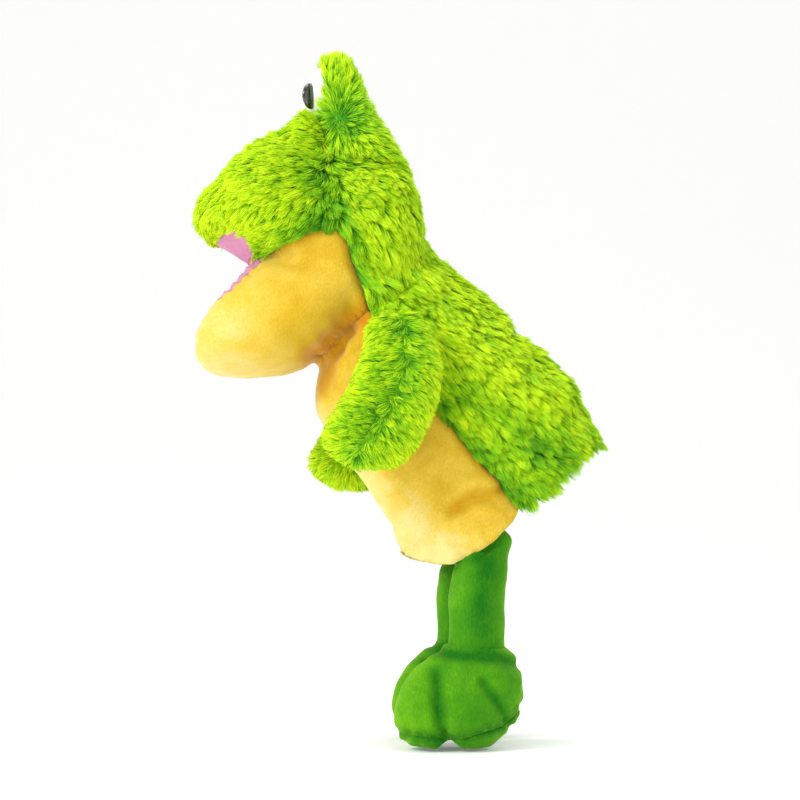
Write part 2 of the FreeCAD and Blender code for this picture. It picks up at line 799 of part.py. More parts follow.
def faults():
    """What failed to build, in words."""
    found = []
    for thing in doc.Objects:
        if any(state in ("Invalid", "Error") for state in thing.State):
            found.append(f"{thing.Label}: {thing.State}")
    for thing in nodes:
        shape = thing.Shape
        if shape.isNull() or not shape.isValid() or shape.Volume <= 0:
            found.append(f"{thing.Label}: no sound shape")
    return found


def main():
    fill_sheet()
    build_body()
    head = build_head()
    build_jaw()
    for word, side in SIDES:
        build_eye(word, side, head)
        build_arm(word, side)
        build_leg(word, side)
        build_foot(word, side)
    doc.recompute()
    found = faults()
    if found:
        raise RuntimeError("; ".join(found))
    os.makedirs("parts", exist_ok=True)
    for thing in nodes:
        thing.Shape.exportStep(f"parts/{thing.Label}.step")
        print(thing.Label, round(thing.Shape.Volume), len(thing.Shape.Solids))


main()
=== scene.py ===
import math

import bmesh
import bpy
import numpy as np
from bpy.props import FloatProperty, FloatVectorProperty, IntProperty, PointerProperty
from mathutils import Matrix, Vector
from mathutils.kdtree import KDTree


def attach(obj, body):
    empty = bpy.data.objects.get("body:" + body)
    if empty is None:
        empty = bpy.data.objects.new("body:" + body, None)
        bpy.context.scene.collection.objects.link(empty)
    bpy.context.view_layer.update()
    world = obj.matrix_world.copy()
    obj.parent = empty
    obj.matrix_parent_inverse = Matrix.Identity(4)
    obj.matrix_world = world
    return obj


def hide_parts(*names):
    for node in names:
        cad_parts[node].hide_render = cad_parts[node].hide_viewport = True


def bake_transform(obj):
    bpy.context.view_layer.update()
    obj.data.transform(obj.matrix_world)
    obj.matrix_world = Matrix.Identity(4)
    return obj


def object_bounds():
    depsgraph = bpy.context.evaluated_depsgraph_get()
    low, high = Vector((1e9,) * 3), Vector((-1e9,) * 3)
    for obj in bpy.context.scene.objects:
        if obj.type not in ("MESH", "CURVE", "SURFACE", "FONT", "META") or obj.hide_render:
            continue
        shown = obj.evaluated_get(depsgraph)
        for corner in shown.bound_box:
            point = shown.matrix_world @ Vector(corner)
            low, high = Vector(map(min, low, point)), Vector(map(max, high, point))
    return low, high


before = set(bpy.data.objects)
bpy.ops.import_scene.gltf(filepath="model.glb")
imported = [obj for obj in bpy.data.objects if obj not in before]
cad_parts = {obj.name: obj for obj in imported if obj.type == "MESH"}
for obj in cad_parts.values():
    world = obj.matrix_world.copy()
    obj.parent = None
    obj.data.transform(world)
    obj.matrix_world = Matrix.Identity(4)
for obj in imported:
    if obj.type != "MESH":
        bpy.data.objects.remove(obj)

bl_info = {
    "name": "Frog hand puppet",
    "version": (1, 0, 0),
    "blender": (4, 5, 0),
    "location": "3D View > Sidebar > Puppet",
    "description": "Builds a plush frog hand puppet round its jointed frame",
    "category": "Object",
}

CAD_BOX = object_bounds()
MM = 0.001
SIDES = (("left", 1), ("right", -1))

# Sections of the soft form, in millimetres: front or upper edge (y, z), back or lower edge (y, z),
# half width, and how square the section is (2 is an ellipse).
TRUNK = [
    ((-55, -52), (46, -4), 39, 2.3),
    ((-58, -30), (47, 20), 41, 2.3),
    ((-62.5, -12), (48, 35), 42, 2.2),
    ((-70, 1), (38, 52), 43, 2.2),
    ((-81, 17), (33, 67), 43, 2.2),
    ((-94, 34), (13, 86), 43, 2.2),
    ((-104, 52), (-10, 107), 42, 2.2),
    ((-104, 68), (-29, 123), 41, 2.1),
    ((-101, 83), (-43, 137), 40, 2.1),
    ((-100, 104), (-51, 150), 38, 2.1),
    ((-103, 122), (-62, 160), 33, 2.0),
]
SKULL = [
    ((-52, 163), (-50, 140), 20, 2.0),
    ((-59, 184), (-52, 122), 34, 2.1),
    ((-67, 195), (-61, 112), 42, 2.2),
    ((-80, 201), (-76, 106), 46, 2.2),
    ((-96, 203), (-94, 108), 47, 2.2),
    ((-112, 203), (-112, 118), 47, 2.3),
    ((-122, 201), (-124, 126), 46.5, 2.3),
    ((-131, 196.5), (-132, 130.5), 45, 2.3),
    ((-139, 192), (-138, 132), 43, 2.2),
    ((-146, 187), (-145, 135), 40, 2.1),
    ((-152, 179.5), (-151, 139), 36, 2.0),
    ((-158, 173), (-157, 142), 31, 2.0),
    ((-163, 168), (-162, 146), 24, 2.0),
    ((-166, 162), (-165.5, 152), 13, 2.0),
]
MUZZLE = [
    ((-88, 150), (-74, 106), 40, 2.1),
    ((-112, 143), (-102, 80), 44, 2.2),
    ((-134, 136), (-117, 73), 44, 2.3),
    ((-147, 126), (-136, 70), 42.5, 2.5),
    ((-158, 115), (-151, 70.5), 39, 2.5),
    ((-166, 104), (-162, 73), 32, 2.4),
    ((-171, 94), (-169.5, 79), 20, 2.2),
]
LID = [
    ((-118, 186), (-96, 186), 15, 2.0),
    ((-118.5, 197), (-98, 197), 14.5, 2.1),
    ((-116, 204), (-102, 204), 11, 2.0),
    ((-113, 207.5), (-107, 207.5), 5, 2.0),
]
HOOD = [
    ((-101, 186), (-62, 186), 20, 2.5),
    ((-103, 197), (-68, 197), 19.5, 2.8),
    ((-104, 208), (-75, 207), 18.5, 3.0),
    ((-104.5, 217), (-80, 216), 17.5, 3.0),
    ((-104.5, 226), (-83.5, 225), 16, 3.0),
    ((-104, 233), (-86.5, 232), 13.5, 2.8),
    ((-102, 238.5), (-89, 238), 9, 2.4),
    ((-98.5, 241), (-93, 241), 4, 2.0),
]
ARM = [
    ((-68, 99), (-55, 98), 6, 2.0),
    ((-78, 94), (-49, 91), 9, 2.0),
    ((-80, 84), (-44.5, 79), 11, 2.0),
    ((-83.5, 73), (-43.5, 66), 12, 2.0),
    ((-88, 61), (-46, 52), 12, 2.0),
    ((-95, 48), (-51.5, 39), 12, 2.0),
    ((-101, 37), (-58, 29), 11, 2.0),
    ((-98, 28), (-66, 22.5), 9, 2.0),
    ((-89, 22), (-76, 20), 5, 2.0),
]
LEG = [
    ((-19, 6), (-10, 6), 1.8, 2.0),
    ((-20, -4), (-8, -4), 2.2, 2.0),
    ((-22, -15), (-5, -12), 3.2, 2.0),
    ((-27, -24), (0, -18), 7.0, 2.0),
    ((-32, -32), (-2, -26), 11.0, 2.0),
    ((-34, -43), (-3.5, -39), 13, 2.1),
    ((-34.5, -58), (-4.5, -56), 13.5, 2.1),
    ((-34.5, -70), (-4.5, -70), 13, 2.1),
    ((-35, -78), (-4.5, -79), 12, 2.1),
    ((-35, -84), (-6, -86), 10, 2.0),
]
FOOT = [
    ((-36, -73), (-4, -75), 11.5, 2.1),
    ((-45, -80), (1.5, -80), 15, 2.1),
    ((-54, -88), (4, -88), 19, 2.1),
    ((-60.5, -97), (5, -97), 22, 2.1),
    ((-63.5, -106), (4.5, -106), 23, 2.1),
    ((-64, -114), (2, -114), 22.5, 2.1),
    ((-62, -121), (-4, -121), 20, 2.1),
    ((-54, -128), (-13, -128), 14, 2.1),
]

# Sewn lines in the side view, in millimetres.
SEAM = [
    (-200, 120),
    (-136.4, 132.6),
    (-127, 137.4),
    (-114, 143.6),
    (-107, 146.6),
    (-96, 147.5),
    (-92, 145),
    (-89.5, 141),
    (-87.5, 132),
    (-84, 122.5),
    (-79, 109.5),
    (-77, 103),
    (-40, 50),
    (-22.5, 28),
    (-6.5, 10.2),
    (2.5, 2),
    (18, -14),
]
YELLOW_REST = [(18, -90), (-200, -90)]
CREASE = [(-60, 117), (-77, 104.5), (-104.5, 78.7), (-130, 56)]
NAPE = [(-92, 114), (-82, 118), (-39, 134), (40, 166)]
HEM = [
    (-90, -19),
    (-59, -22),
    (-56, -27),
    (-50, -29.6),
    (-42, -31.6),
    (-34, -31.5),
    (-27, -28.5),
    (-20, -25),
    (-11, -19),
    (-1, -8.4),
    (3, 0.5),
    (16, 8.5),
    (23, 20),
    (44, 34),
    (90, 50),
]
PLEAT = [(-2, 96), (16, 85), (31, 70), (44, 50)]
UPPER_LIP = [(-136.4, 132.6), (-140, 140.5), (-147, 147), (-153, 146.5), (-158, 143.5), (-166, 147), (-178, 149)]
LOWER_LIP = [(-136.4, 132.6), (-141, 129.6), (-146, 124), (-151.5, 117.6)]
LOWER_LIP += [(-158, 109.5), (-164, 101.5), (-170, 93), (-180, 89)]
MOUTH_ROOM = [(-200, 110), (-160, 150), (-134, 145)]
FLOOR_EDGE = [
    (-34, -128),
    (-34.5, -146),
    (-30, -156),
    (-21, -163),
    (0, -166.5),
    (21, -163),
    (30, -156),
    (34.5, -146),
    (34, -128),
]
MOUTH_MIDDLE = (-185, 123)
SOLE_SEAM = [(-80, -120), (-60, -120), (-44, -121.5), (-30, -122), (-8, -116), (6, -106), (20, -100)]
TOES = (
    [(-43, -88), (-42.5, -100), (-42, -112), (-38, -124), (-34, -130)],
    [(-19, -93), (-13, -101), (-6, -111), (-3, -116)],
)
ANKLE_FOLD = [(-46, -76), (-34, -79), (-20, -80), (-8, -81), (3, -85)]
THROAT_FOLD = [(-88, 100), (-93, 88), (-98, 74), (-101, 62)]
HEM_FOLD = [(-34, -3), (-24, 4), (-14, 6), (-7, 8)]
VOXEL = 0.0024
EYE_X, ARM_X, LEG_X = 24, 55, 30  # sideways places of the paired forms, in millimetres
EYE = np.array([EYE_X * MM, -0.0985, 0.2205])
EYE_HALF = np.array([0.0149, 0.0138, 0.0172])
EYE_SOCKET = np.array([0.0150, 0.0136, 0.0172])
PUPIL_HALF = np.array([0.0064, 0.0026, 0.0071])
PUPIL_TURN, PUPIL_TILT = math.radians(40), math.radians(9)
PUPIL_REACH, PUPIL_DROP = 0.0138, 0.0015


class PuppetSizes(bpy.types.PropertyGroup):
    blade_width: FloatProperty(
        name="Lock width", description="Width of one lock at its root", default=0.00050, unit="LENGTH"
    )
    coat_locks: IntProperty(name="Coat locks", description="Locks on each coat piece", default=30000)
    arm_locks: IntProperty(name="Arm locks", description="Locks on each arm", default=24000)
    hood_locks: IntProperty(name="Hood locks", description="Locks on each eye hood", default=13000)
    cloth: FloatProperty(
        name="Cloth", description="Thickness of the plush cloth", default=0.0015, unit="LENGTH"
    )
    camera_distance: FloatProperty(
        name="Camera distance", description="Camera to the puppet's middle", default=1.10, unit="LENGTH"
    )
    camera_turn: FloatProperty(
        name="Camera turn", description="View direction round Z", default=math.radians(85), unit="ROTATION"
    )
    camera_rise: FloatProperty(
        name="Camera rise", description="View direction above level", default=math.radians(-3.5), unit="ROTATION"
    )


def colour(name, description, default):
    return FloatVectorProperty(name=name, description=description, subtype="COLOR", default=default)


class PuppetColours(bpy.types.PropertyGroup):
    # Fur colours run from root to tip: the dark roots are painted shade deep in the pile.
    fur_tip: colour("Fur tips", "Tips of the pile", (0.70, 0.93, 0.006))
    fur_mid: colour("Fur middle", "Middle of the pile", (0.27, 0.65, 0.003))
    fur_root: colour("Fur roots", "Depth of the pile", (0.018, 0.26, 0.003))
    # The belly's fold colour is painted shade in its folds and seams, and its pale colour is painted light; its dark
    # colour takes random brushed patches and mild painted shade.
    belly: colour("Belly", "Short pile of belly and jaw", (0.72, 0.50, 0.055))
    belly_dark: colour("Belly depth", "Short pile brushed away", (0.60, 0.37, 0.012))
    belly_fold_shade: colour("Belly folds", "Short pile in its folds", (0.64, 0.26, 0.005))
    belly_painted_light: colour("Belly nap", "Short pile brushed to the light", (0.76, 0.62, 0.22))
    # The leg's dark colour is painted shade in the middle band, creases and underside, and its pale colour is painted
    # light on the front; the random grain reaches both a little.
    leg: colour("Legs", "Short pile of legs and feet", (0.050, 0.25, 0.002))
    leg_dark: colour("Leg depth", "Leg pile brushed away", (0.004, 0.13, 0.0015))
    leg_pale: colour("Leg nap", "Leg pile brushed to the light", (0.16, 0.43, 0.002))
    mouth: colour("Mouth", "Smooth mouth lining", (0.72, 0.28, 0.47))
    lining: colour("Sleeve lining", "Lining cloth", (0.55, 0.57, 0.55))


# ---------------------------------------------------------------- shapes


def refine(sections, steps):
    """Sections with smooth ones between them, each (front y, z, back y, z, half width, squareness)."""
    rows = np.array([[*front, *back, width, square] for front, back, width, square in sections], float)
    rows = np.vstack([2 * rows[0] - rows[1], rows, 2 * rows[-1] - rows[-2]])
    out = []
    for i in range(1, len(rows) - 2):
        a, b, c, d = rows[i - 1 : i + 3]
        for k in range(steps):
            s = k / steps
            out.append(
                0.5 * (2 * b + (c - a) * s + (2 * a - 5 * b + 4 * c - d) * s**2 + (3 * b - a - 3 * c + d) * s**3)
            )
    out.append(rows[-2])
    return out


def soft_solid(sections, x=0.0, steps=5, around=56, widen=1.0):
    """Vertices and faces of a closed skin through sections."""
    points, faces = [], []
    turn = np.linspace(0, 2 * math.pi, around, endpoint=False)
    rows = refine(sections, steps)
    for front_y, front_z, back_y, back_z, width, square in rows:
        along = np.abs(np.cos(turn)) ** (2 / square) * np.sign(np.cos(turn)) / 2
        across = np.abs(np.sin(turn)) ** (2 / square) * np.sign(np.sin(turn)) * width * widen
        y = (front_y + back_y) / 2 + along * (back_y - front_y)
        z = (front_z + back_z) / 2 + along * (back_z - front_z)
        points.append(np.stack([x + across, y, z], 1))
    count = len(rows)
    for i in range(count - 1):
        for k in range(around):
            n = (k + 1) % around
            faces.append((i * around + k, i * around + n, (i + 1) * around + n, (i + 1) * around + k))
    faces.append(tuple(range(around)))
    faces.append(tuple((count - 1) * around + k for k in reversed(range(around))))
    return np.vstack(points) * MM, faces


def add_mesh(name, points, faces):
    mesh = bpy.data.meshes.new(name)
    mesh.from_pydata([tuple(p) for p in points], [], faces)
    mesh.update()
    piece = bpy.data.objects.new(name, mesh)
    bpy.context.collection.objects.link(piece)
    return piece


def deselect_all():
    if bpy.context.object and bpy.context.object.mode != "OBJECT":
        bpy.ops.object.mode_set(mode="OBJECT")
    bpy.ops.object.select_all(action="DESELECT")


def activate(*pieces):
    deselect_all()
    for piece in pieces:
        piece.select_set(True)
    bpy.context.view_layer.objects.active = pieces[0]


def outward(piece):
    """Merge doubles and turn the faces outwards."""
    form = bmesh.new()
    form.from_mesh(piece.data)
    bmesh.ops.remove_doubles(form, verts=form.verts, dist=1e-6)
    bmesh.ops.recalc_face_normals(form, faces=form.faces)
    form.to_mesh(piece.data)
    form.free()


def apply(piece, kind, **settings):
    activate(piece)
    modifier = piece.modifiers.new(kind.title(), kind)
    for name, value in settings.items():
        setattr(modifier, name, value)
    bpy.ops.object.modifier_apply(modifier=modifier.name)


def fused(name, solids, voxel=VOXEL, smoothing=6):
    """One smooth skin round several closed solids."""
    pieces = []
    for i, (points, faces) in enumerate(solids):
        piece = add_mesh(f"{name}_{i}", points, faces)
        outward(piece)
        pieces.append(piece)
    activate(*pieces)
    if len(pieces) > 1:
        bpy.ops.object.join()
    piece = bpy.context.view_layer.objects.active
    piece.name = name
    apply(piece, "REMESH", mode="VOXEL", voxel_size=voxel, adaptivity=0.0)
    apply(piece, "SMOOTH", factor=0.5, iterations=smoothing)
    return piece


def coordinates(mesh):
    flat = np.empty(len(mesh.vertices) * 3)
    mesh.vertices.foreach_get("co", flat)
    return flat.reshape(-1, 3)


def set_coordinates(mesh, points):
    mesh.vertices.foreach_set("co", np.ascontiguousarray(points, float).ravel())
    mesh.update()


def vertex_normals(mesh):
    flat = np.empty(len(mesh.vertices) * 3)
    mesh.vertices.foreach_get("normal", flat)
    return flat.reshape(-1, 3)


def to_line(points, line):
    """Nearest points on a side-view line and the distances to it, for (y, z) points in metres."""
    best = np.full(len(points), 1e9)
    nearest = points.copy()
    run = np.zeros(len(points))
    length = 0.0
    for a, b in zip(line, line[1:]):
        a, b = np.array(a) * MM, np.array(b) * MM
        step = b - a
        t = np.clip(((points - a) @ step) / (step @ step), 0, 1)
        foot = a + t[:, None] * step
        gap = np.linalg.norm(points - foot, axis=1)
        closer = gap < best
        best[closer], nearest[closer] = gap[closer], foot[closer]
        run[closer] = length + t[closer] * np.linalg.norm(step)
        length += np.linalg.norm(step)
    return nearest, best, run


def inside(points, corners):
    """Which (y, z) points lie in a side-view outline."""
    y, z = points[:, 0], points[:, 1]
    found = np.zeros(len(points), bool)
    loop = np.array(corners) * MM
    for (y0, z0), (y1, z1) in zip(loop, np.roll(loop, -1, axis=0)):
        crosses = (z0 > z) != (z1 > z)
        rise = z1 - z0 if z1 != z0 else 1e-12
        found ^= crosses & (y < (y1 - y0) * (z - z0) / rise + y0)
    return found


def snap(piece, region, line, reach, axes=(1, 2)):
    """Move the vertices between a region's faces and the rest onto a side-view or plan line."""
    mesh = piece.data
    corner = np.empty(len(mesh.loops), int)
    mesh.loops.foreach_get("vertex_index", corner)
    sizes = np.empty(len(mesh.polygons), int)
    mesh.polygons.foreach_get("loop_total", sizes)
    owner = np.repeat(region, sizes)
    touched_in = np.zeros(len(mesh.vertices), bool)
    touched_out = np.zeros(len(mesh.vertices), bool)
    touched_in[corner[owner]] = True
    touched_out[corner[~owner]] = True
    border = touched_in & touched_out
    points = coordinates(mesh)
    nearest, gap, _ = to_line(points[:, axes], line)
    move = np.flatnonzero(border & (gap < reach))
    points[np.ix_(move, axes)] = nearest[move]
    set_coordinates(mesh, points)


def face_centres(mesh):
    flat = np.empty(len(mesh.polygons) * 3)
    mesh.polygons.foreach_get("center", flat)
    return flat.reshape(-1, 3)


def face_normals(mesh):
    flat = np.empty(len(mesh.polygons) * 3)
    mesh.polygons.foreach_get("normal", flat)
    return flat.reshape(-1, 3)


def take_faces(source, name, chosen):
    """A new piece with the chosen faces of a form."""
    mesh = source.data
    index = np.flatnonzero(chosen)
    corners = [tuple(mesh.polygons[i].vertices) for i in index]
    used = sorted({v for face in corners for v in face})
    place = {v: i for i, v in enumerate(used)}
    points = coordinates(mesh)[used]
    return add_mesh(name, points, [tuple(place[v] for v in face) for face in corners])


def smooth_shade(piece):
    piece.data.polygons.foreach_set("use_smooth", [True] * len(piece.data.polygons))
    piece.data.update()


def waves(points, seed, size, octaves=3):
    """Smooth seeded noise about zero at points in metres, with bumps of about the given size."""
    random = np.random.RandomState(seed)
    total = np.zeros(len(points))
    for octave in range(octaves):
        reach = 2 * math.pi / (size / 1.9**octave)
        for _ in range(5):
            direction = random.normal(size=3)
            direction /= np.linalg.norm(direction)
            total += np.sin(points @ direction * reach + random.uniform(0, 6.28)) / 1.9**octave
    return total / 5


# ---------------------------------------------------------------- fur


def step_between(value, low, high):
    t = np.clip((value - low) / (high - low), 0, 1)
    return t * t * (3 - 2 * t)


def near_line(points, line, reach):
    """1 on a side-view line, falling to 0 at reach millimetres from it."""
    _, gap, _ = to_line(points[:, 1:], line)
    return 1 - step_between(gap, 0, reach * MM)


def side_view(angle, outward_part, points):
    """Directions at an angle in degrees below the backward horizontal, leaning outward from the middle."""
    turn = np.radians(angle)
    lean = np.sign(points[:, 0]) * outward_part * np.clip(np.abs(points[:, 0]) / 0.02, 0, 1)
    return np.stack([lean, np.cos(turn), -np.sin(turn)], 1)


def head_comb(points):
    """Fur parts on an upright line behind the snout: forward in front of it, fanning back behind it."""
    y, z = points[:, 1], points[:, 2]
    behind = step_between(y + 0.0035 * np.sin(z * 400), -0.107, -0.094)[:, None]
    front = side_view(180 - 18 - 22 * step_between(z, 0.185, 0.150), 0.12, points)
    drop = 12 + 46 * step_between(z, 0.198, 0.150) + 25 * step_between(y, -0.075, -0.052)
    back = side_view(drop, 0.22, points)
    return front * (1 - behind) + back * behind


# Head fur tone: painted shade along the parting and along the sunken seam, painted light on the top of the head and
# the front of the snout, with a random waver.
def head_tone(points):
    y, z = points[:, 1], points[:, 2]
    low = step_between(z, 0.200, 0.170)
    parting = np.exp(-(((y + 0.101 + 0.003 * np.sin(z * 300)) / 0.0085) ** 2)) * low
    return (
        0.60
        - 0.42 * parting
        - 0.30 * near_line(points, SEAM[1:12], 11)
        + 0.16 * step_between(y, -0.118, -0.150)
        + 0.12 * step_between(z, 0.185, 0.203)
        + 0.10 * waves(points, 5, 0.022)
    )


def back_comb(points):
    y = points[:, 1]
    return side_view(52 - 14 * step_between(y, 0.0, 0.045), 0.16, points)


# Back fur tone: painted shade along the seam and in the pleat, a painted shadow under the arm, and painted shade low
# on the back under the tail, with a random waver.
def back_tone(points):
    y, z = points[:, 1], points[:, 2]
    return (
        0.58
        - 0.30 * near_line(points, SEAM[10:], 10)
        - 0.42 * near_line(points, PLEAT, 6)
        - 0.26 * near_line(points, [(-34, 66), (-6, 46), (18, 30)], 15)
        - 0.22 * step_between(z, 0.052, 0.030)
        + 0.13 * waves(points, 7, 0.026)
    )


def arm_comb(points):
    """Away from the paddle's middle line and a little downward."""
    middle = [(-64, 100), (-60, 84), (-61, 70), (-66, 56), (-74, 42), (-84, 28)]
    nearest, gap, _ = to_line(points[:, 1:], middle)
    away = (points[:, 1:] - nearest) / np.maximum(gap, 1e-5)[:, None]
    away = away * np.clip(gap / 0.003, 0, 1)[:, None]
    return np.stack([np.zeros(len(points)), away[:, 0] - 0.10, away[:, 1] - 0.42], 1)


# Arm fur tone: painted shade along the parting down the paddle's middle, lighter toward the rims, with a random
# waver.
def arm_tone(points):
    middle = [(-61, 86), (-61, 70), (-66, 56), (-74, 42), (-82, 34)]
    _, gap, _ = to_line(points[:, 1:], middle)
    rim = step_between(gap, 0.004, 0.019)
    return 0.40 + 0.30 * rim + 0.08 * waves(points, 11, 0.016)


def hood_comb(points):
    """Out from a whorl low on the mound's side."""
    away = points[:, 1:] - np.array([-0.094, 0.205])
    away /= np.maximum(np.linalg.norm(away, axis=1), 1e-5)[:, None]
    return np.stack([np.zeros(len(points)), away[:, 0] + 0.15, away[:, 1] - 0.05], 1)


# Hood fur tone: painted shade at the whorl and painted light on the top of the mound, with a random waver.
def hood_tone(points):
    z = points[:, 2]
    whorl = np.exp(-(((points[:, 1] + 0.090) / 0.010) ** 2 + ((z - 0.208) / 0.014) ** 2))
    return 0.56 - 0.34 * whorl + 0.20 * step_between(z, 0.225, 0.244) + 0.08 * waves(points, 13, 0.012)


def scatter(piece, count, seed):
    """Seeded random points over a skin, with the skin's smooth normals."""
    random = np.random.RandomState(seed)
    mesh = piece.data
    mesh.calc_loop_triangles()
    corner = np.empty(len(mesh.loop_triangles) * 3, int)
    mesh.loop_triangles.foreach_get("vertices", corner)
    corner = corner.reshape(-1, 3)
    points, normals = coordinates(mesh), vertex_normals(mesh)
    a, b, c = (points[corner[:, k]] for k in range(3))
    area = np.linalg.norm(np.cross(b - a, c - a), axis=1)
    pick = random.choice(len(area), count, p=area / area.sum())
    r, s = np.sqrt(random.rand(count)), random.rand(count)
    weights = np.stack([1 - r, r * (1 - s), r * s], 1)[:, :, None]
    where = (points[corner[pick]] * weights).sum(1)
    facing = (normals[corner[pick]] * weights).sum(1)
    return where, facing / np.linalg.norm(facing, axis=1)[:, None], random


def furred(name, skin, count, seed, comb, tone, pile, lock_width, rise=(58, 16), clump=0.0031, gather=0.62, wall=0.0):
    """A skin with tapering locks grown from it, gathered into tufts, as one piece.

    The map OFBake holds each lock's tone across, painted light and shade included, and its root-to-tip run upward.
    """
    roots, normals, random = scatter(skin, count, seed)
    flow = comb(roots) + 0.16 * random.normal(size=roots.shape)
    sway = np.stack([waves(roots + k, seed + 3 * k, 0.011, 2) for k in range(1, 4)], 1)
    flow = flow + 0.42 * sway
    flow -= (flow * normals).sum(1)[:, None] * normals
    flow /= np.maximum(np.linalg.norm(flow, axis=1), 1e-6)[:, None]
    across = np.cross(normals, flow)
    long = pile(roots) * (0.72 + 0.5 * random.rand(count)) * (1 + 0.18 * waves(roots, seed + 40, 0.014, 2))

    runs = np.array([0.0, 0.34, 0.70, 1.0])
    fine = np.linspace(0, 1, 25)
    lifts = np.radians(rise[0] + (rise[1] - rise[0]) * fine**0.8)
    ahead = np.interp(runs, fine, np.concatenate([[0], np.cumsum(np.cos(lifts[1:]))]) / 24)
    above = np.interp(runs, fine, np.concatenate([[0], np.cumsum(np.sin(lifts[1:]))]) / 24)
    line = (
        roots[:, None]
        + long[:, None, None] * ahead[None, :, None] * flow[:, None]
        + long[:, None, None] * above[None, :, None] * normals[:, None]
    )

    # Each tuft's locks lean to the line of the one at its centre.
    area = sum(face.area for face in skin.data.polygons)
    centres = random.choice(count, max(8, int(area / clump**2)), replace=False)
    tree = KDTree(len(centres))
    for i, c in enumerate(centres):
        tree.insert(roots[c] + waves(roots[c : c + 1], seed, 0.004, 1)[0] * 0.0006, i)
    tree.balance()
    leader = np.array([centres[tree.find(p)[1]] for p in roots])
    pull = gather * (runs**1.3)[None, :, None] * (0.75 + 0.5 * random.rand(count))[:, None, None]
    line = line + np.clip(pull, 0, 0.93) * (line[leader] - line)
    line += (runs**2)[None, :, None] * 0.00045 * random.normal(size=(count, 1, 3))

    twist = np.radians(random.uniform(-62, 62, count))[:, None]
    flat = across * np.cos(twist) + normals * np.sin(twist)
    half = lock_width / 2 * (0.75 + 0.5 * random.rand(count))
    taper = np.array([1.0, 0.86, 0.55])
    points = np.empty((count, 7, 3))
    for k in range(3):
        offset = flat * (half * taper[k])[:, None]
        points[:, 2 * k], points[:, 2 * k + 1] = line[:, k] - offset, line[:, k] + offset
    points[:, 6] = line[:, 3]

    shade = np.clip(
        tone(roots) + 0.07 * random.normal(size=count) + 0.10 * random.normal(size=count)[leader], 0.02, 0.98
    )
    lock_u = np.repeat(shade[:, None], 7, 1)
    lock_u[:, [0, 2, 4]] -= 0.006
    lock_u[:, [1, 3, 5]] += 0.006
    lock_v = np.tile([0.0, 0.0, 0.34, 0.34, 0.70, 0.70, 1.0], (count, 1))

    if wall:
        walled(skin, wall)
    mesh = skin.data
    base = coordinates(mesh)
    base_u = np.clip(tone(base), 0.02, 0.98)
    base_v = 0.02 + 0.03 * ((np.arange(len(base)) * 7) % 11) / 11
    base_loops = np.empty(len(mesh.loops), int)
    mesh.loops.foreach_get("vertex_index", base_loops)
    base_sizes = np.empty(len(mesh.polygons), int)
    mesh.polygons.foreach_get("loop_total", base_sizes)

    start = len(base) + 7 * np.arange(count)[:, None]
    pattern = np.array([0, 1, 3, 2, 2, 3, 5, 4, 4, 5, 6])
    loops = np.concatenate([base_loops, (start + pattern).ravel()])
    sizes = np.concatenate([base_sizes, np.tile([4, 4, 3], count)])
    u = np.concatenate([base_u, lock_u.ravel()])[loops]
    v = np.concatenate([base_v, lock_v.ravel()])[loops]
    cloth = bpy.data.meshes.new(name)
    cloth.vertices.add(len(base) + 7 * count)
    cloth.vertices.foreach_set("co", np.concatenate([base.ravel(), points.ravel()]))
    cloth.loops.add(len(loops))
    cloth.loops.foreach_set("vertex_index", loops)
    cloth.polygons.add(len(sizes))
    cloth.polygons.foreach_set("loop_start", np.concatenate([[0], np.cumsum(sizes)[:-1]]))
    cloth.polygons.foreach_set("loop_total", sizes)
    cloth.update(calc_edges=True)
    layer = cloth.uv_layers.new(name="OFBake")
    layer.data.foreach_set("uv", np.stack([u, v], 1).ravel())
    cloth.validate()
    piece = bpy.data.objects.new(name, cloth)
    bpy.context.collection.objects.link(piece)
    bpy.data.objects.remove(skin)
    smooth_shade(piece)
    return piece


def fur_piece(name, skin, count, seed, comb, tone, pile, lock_width, **shape):
    piece = furred(name, skin, count, seed, comb, tone, pile, lock_width, **shape)
    piece.data.materials.append(material("green_fur"))
    return piece


# ---------------------------------------------------------------- materials


def new_group(name, inputs, outputs):
    group = bpy.data.node_groups.new(name, "ShaderNodeTree")
    for label, kind, value in inputs:
        socket = group.interface.new_socket(label, in_out="INPUT", socket_type=kind)
        if value is not None:
            socket.default_value = value
    for label, kind in outputs:
        group.interface.new_socket(label, in_out="OUTPUT", socket_type=kind)
    return group, group.nodes.new("NodeGroupInput"), group.nodes.new("NodeGroupOutput")


def node(tree, kind, where=(0, 0), **settings):
    made = tree.nodes.new("ShaderNode" + kind)
    made.location = where
    for name, value in settings.items():
        setattr(made, name, value)
    return made


def math_node(tree, operation, a, b=None, clamp=False):
    made = node(tree, "Math", operation=operation, use_clamp=clamp)
    for socket, value in zip(made.inputs, (a, b)):
        if value is None:
            continue
        if isinstance(value, (int, float)):
            socket.default_value = value
        else:
            tree.links.new(value, socket)
    return made.outputs[0]


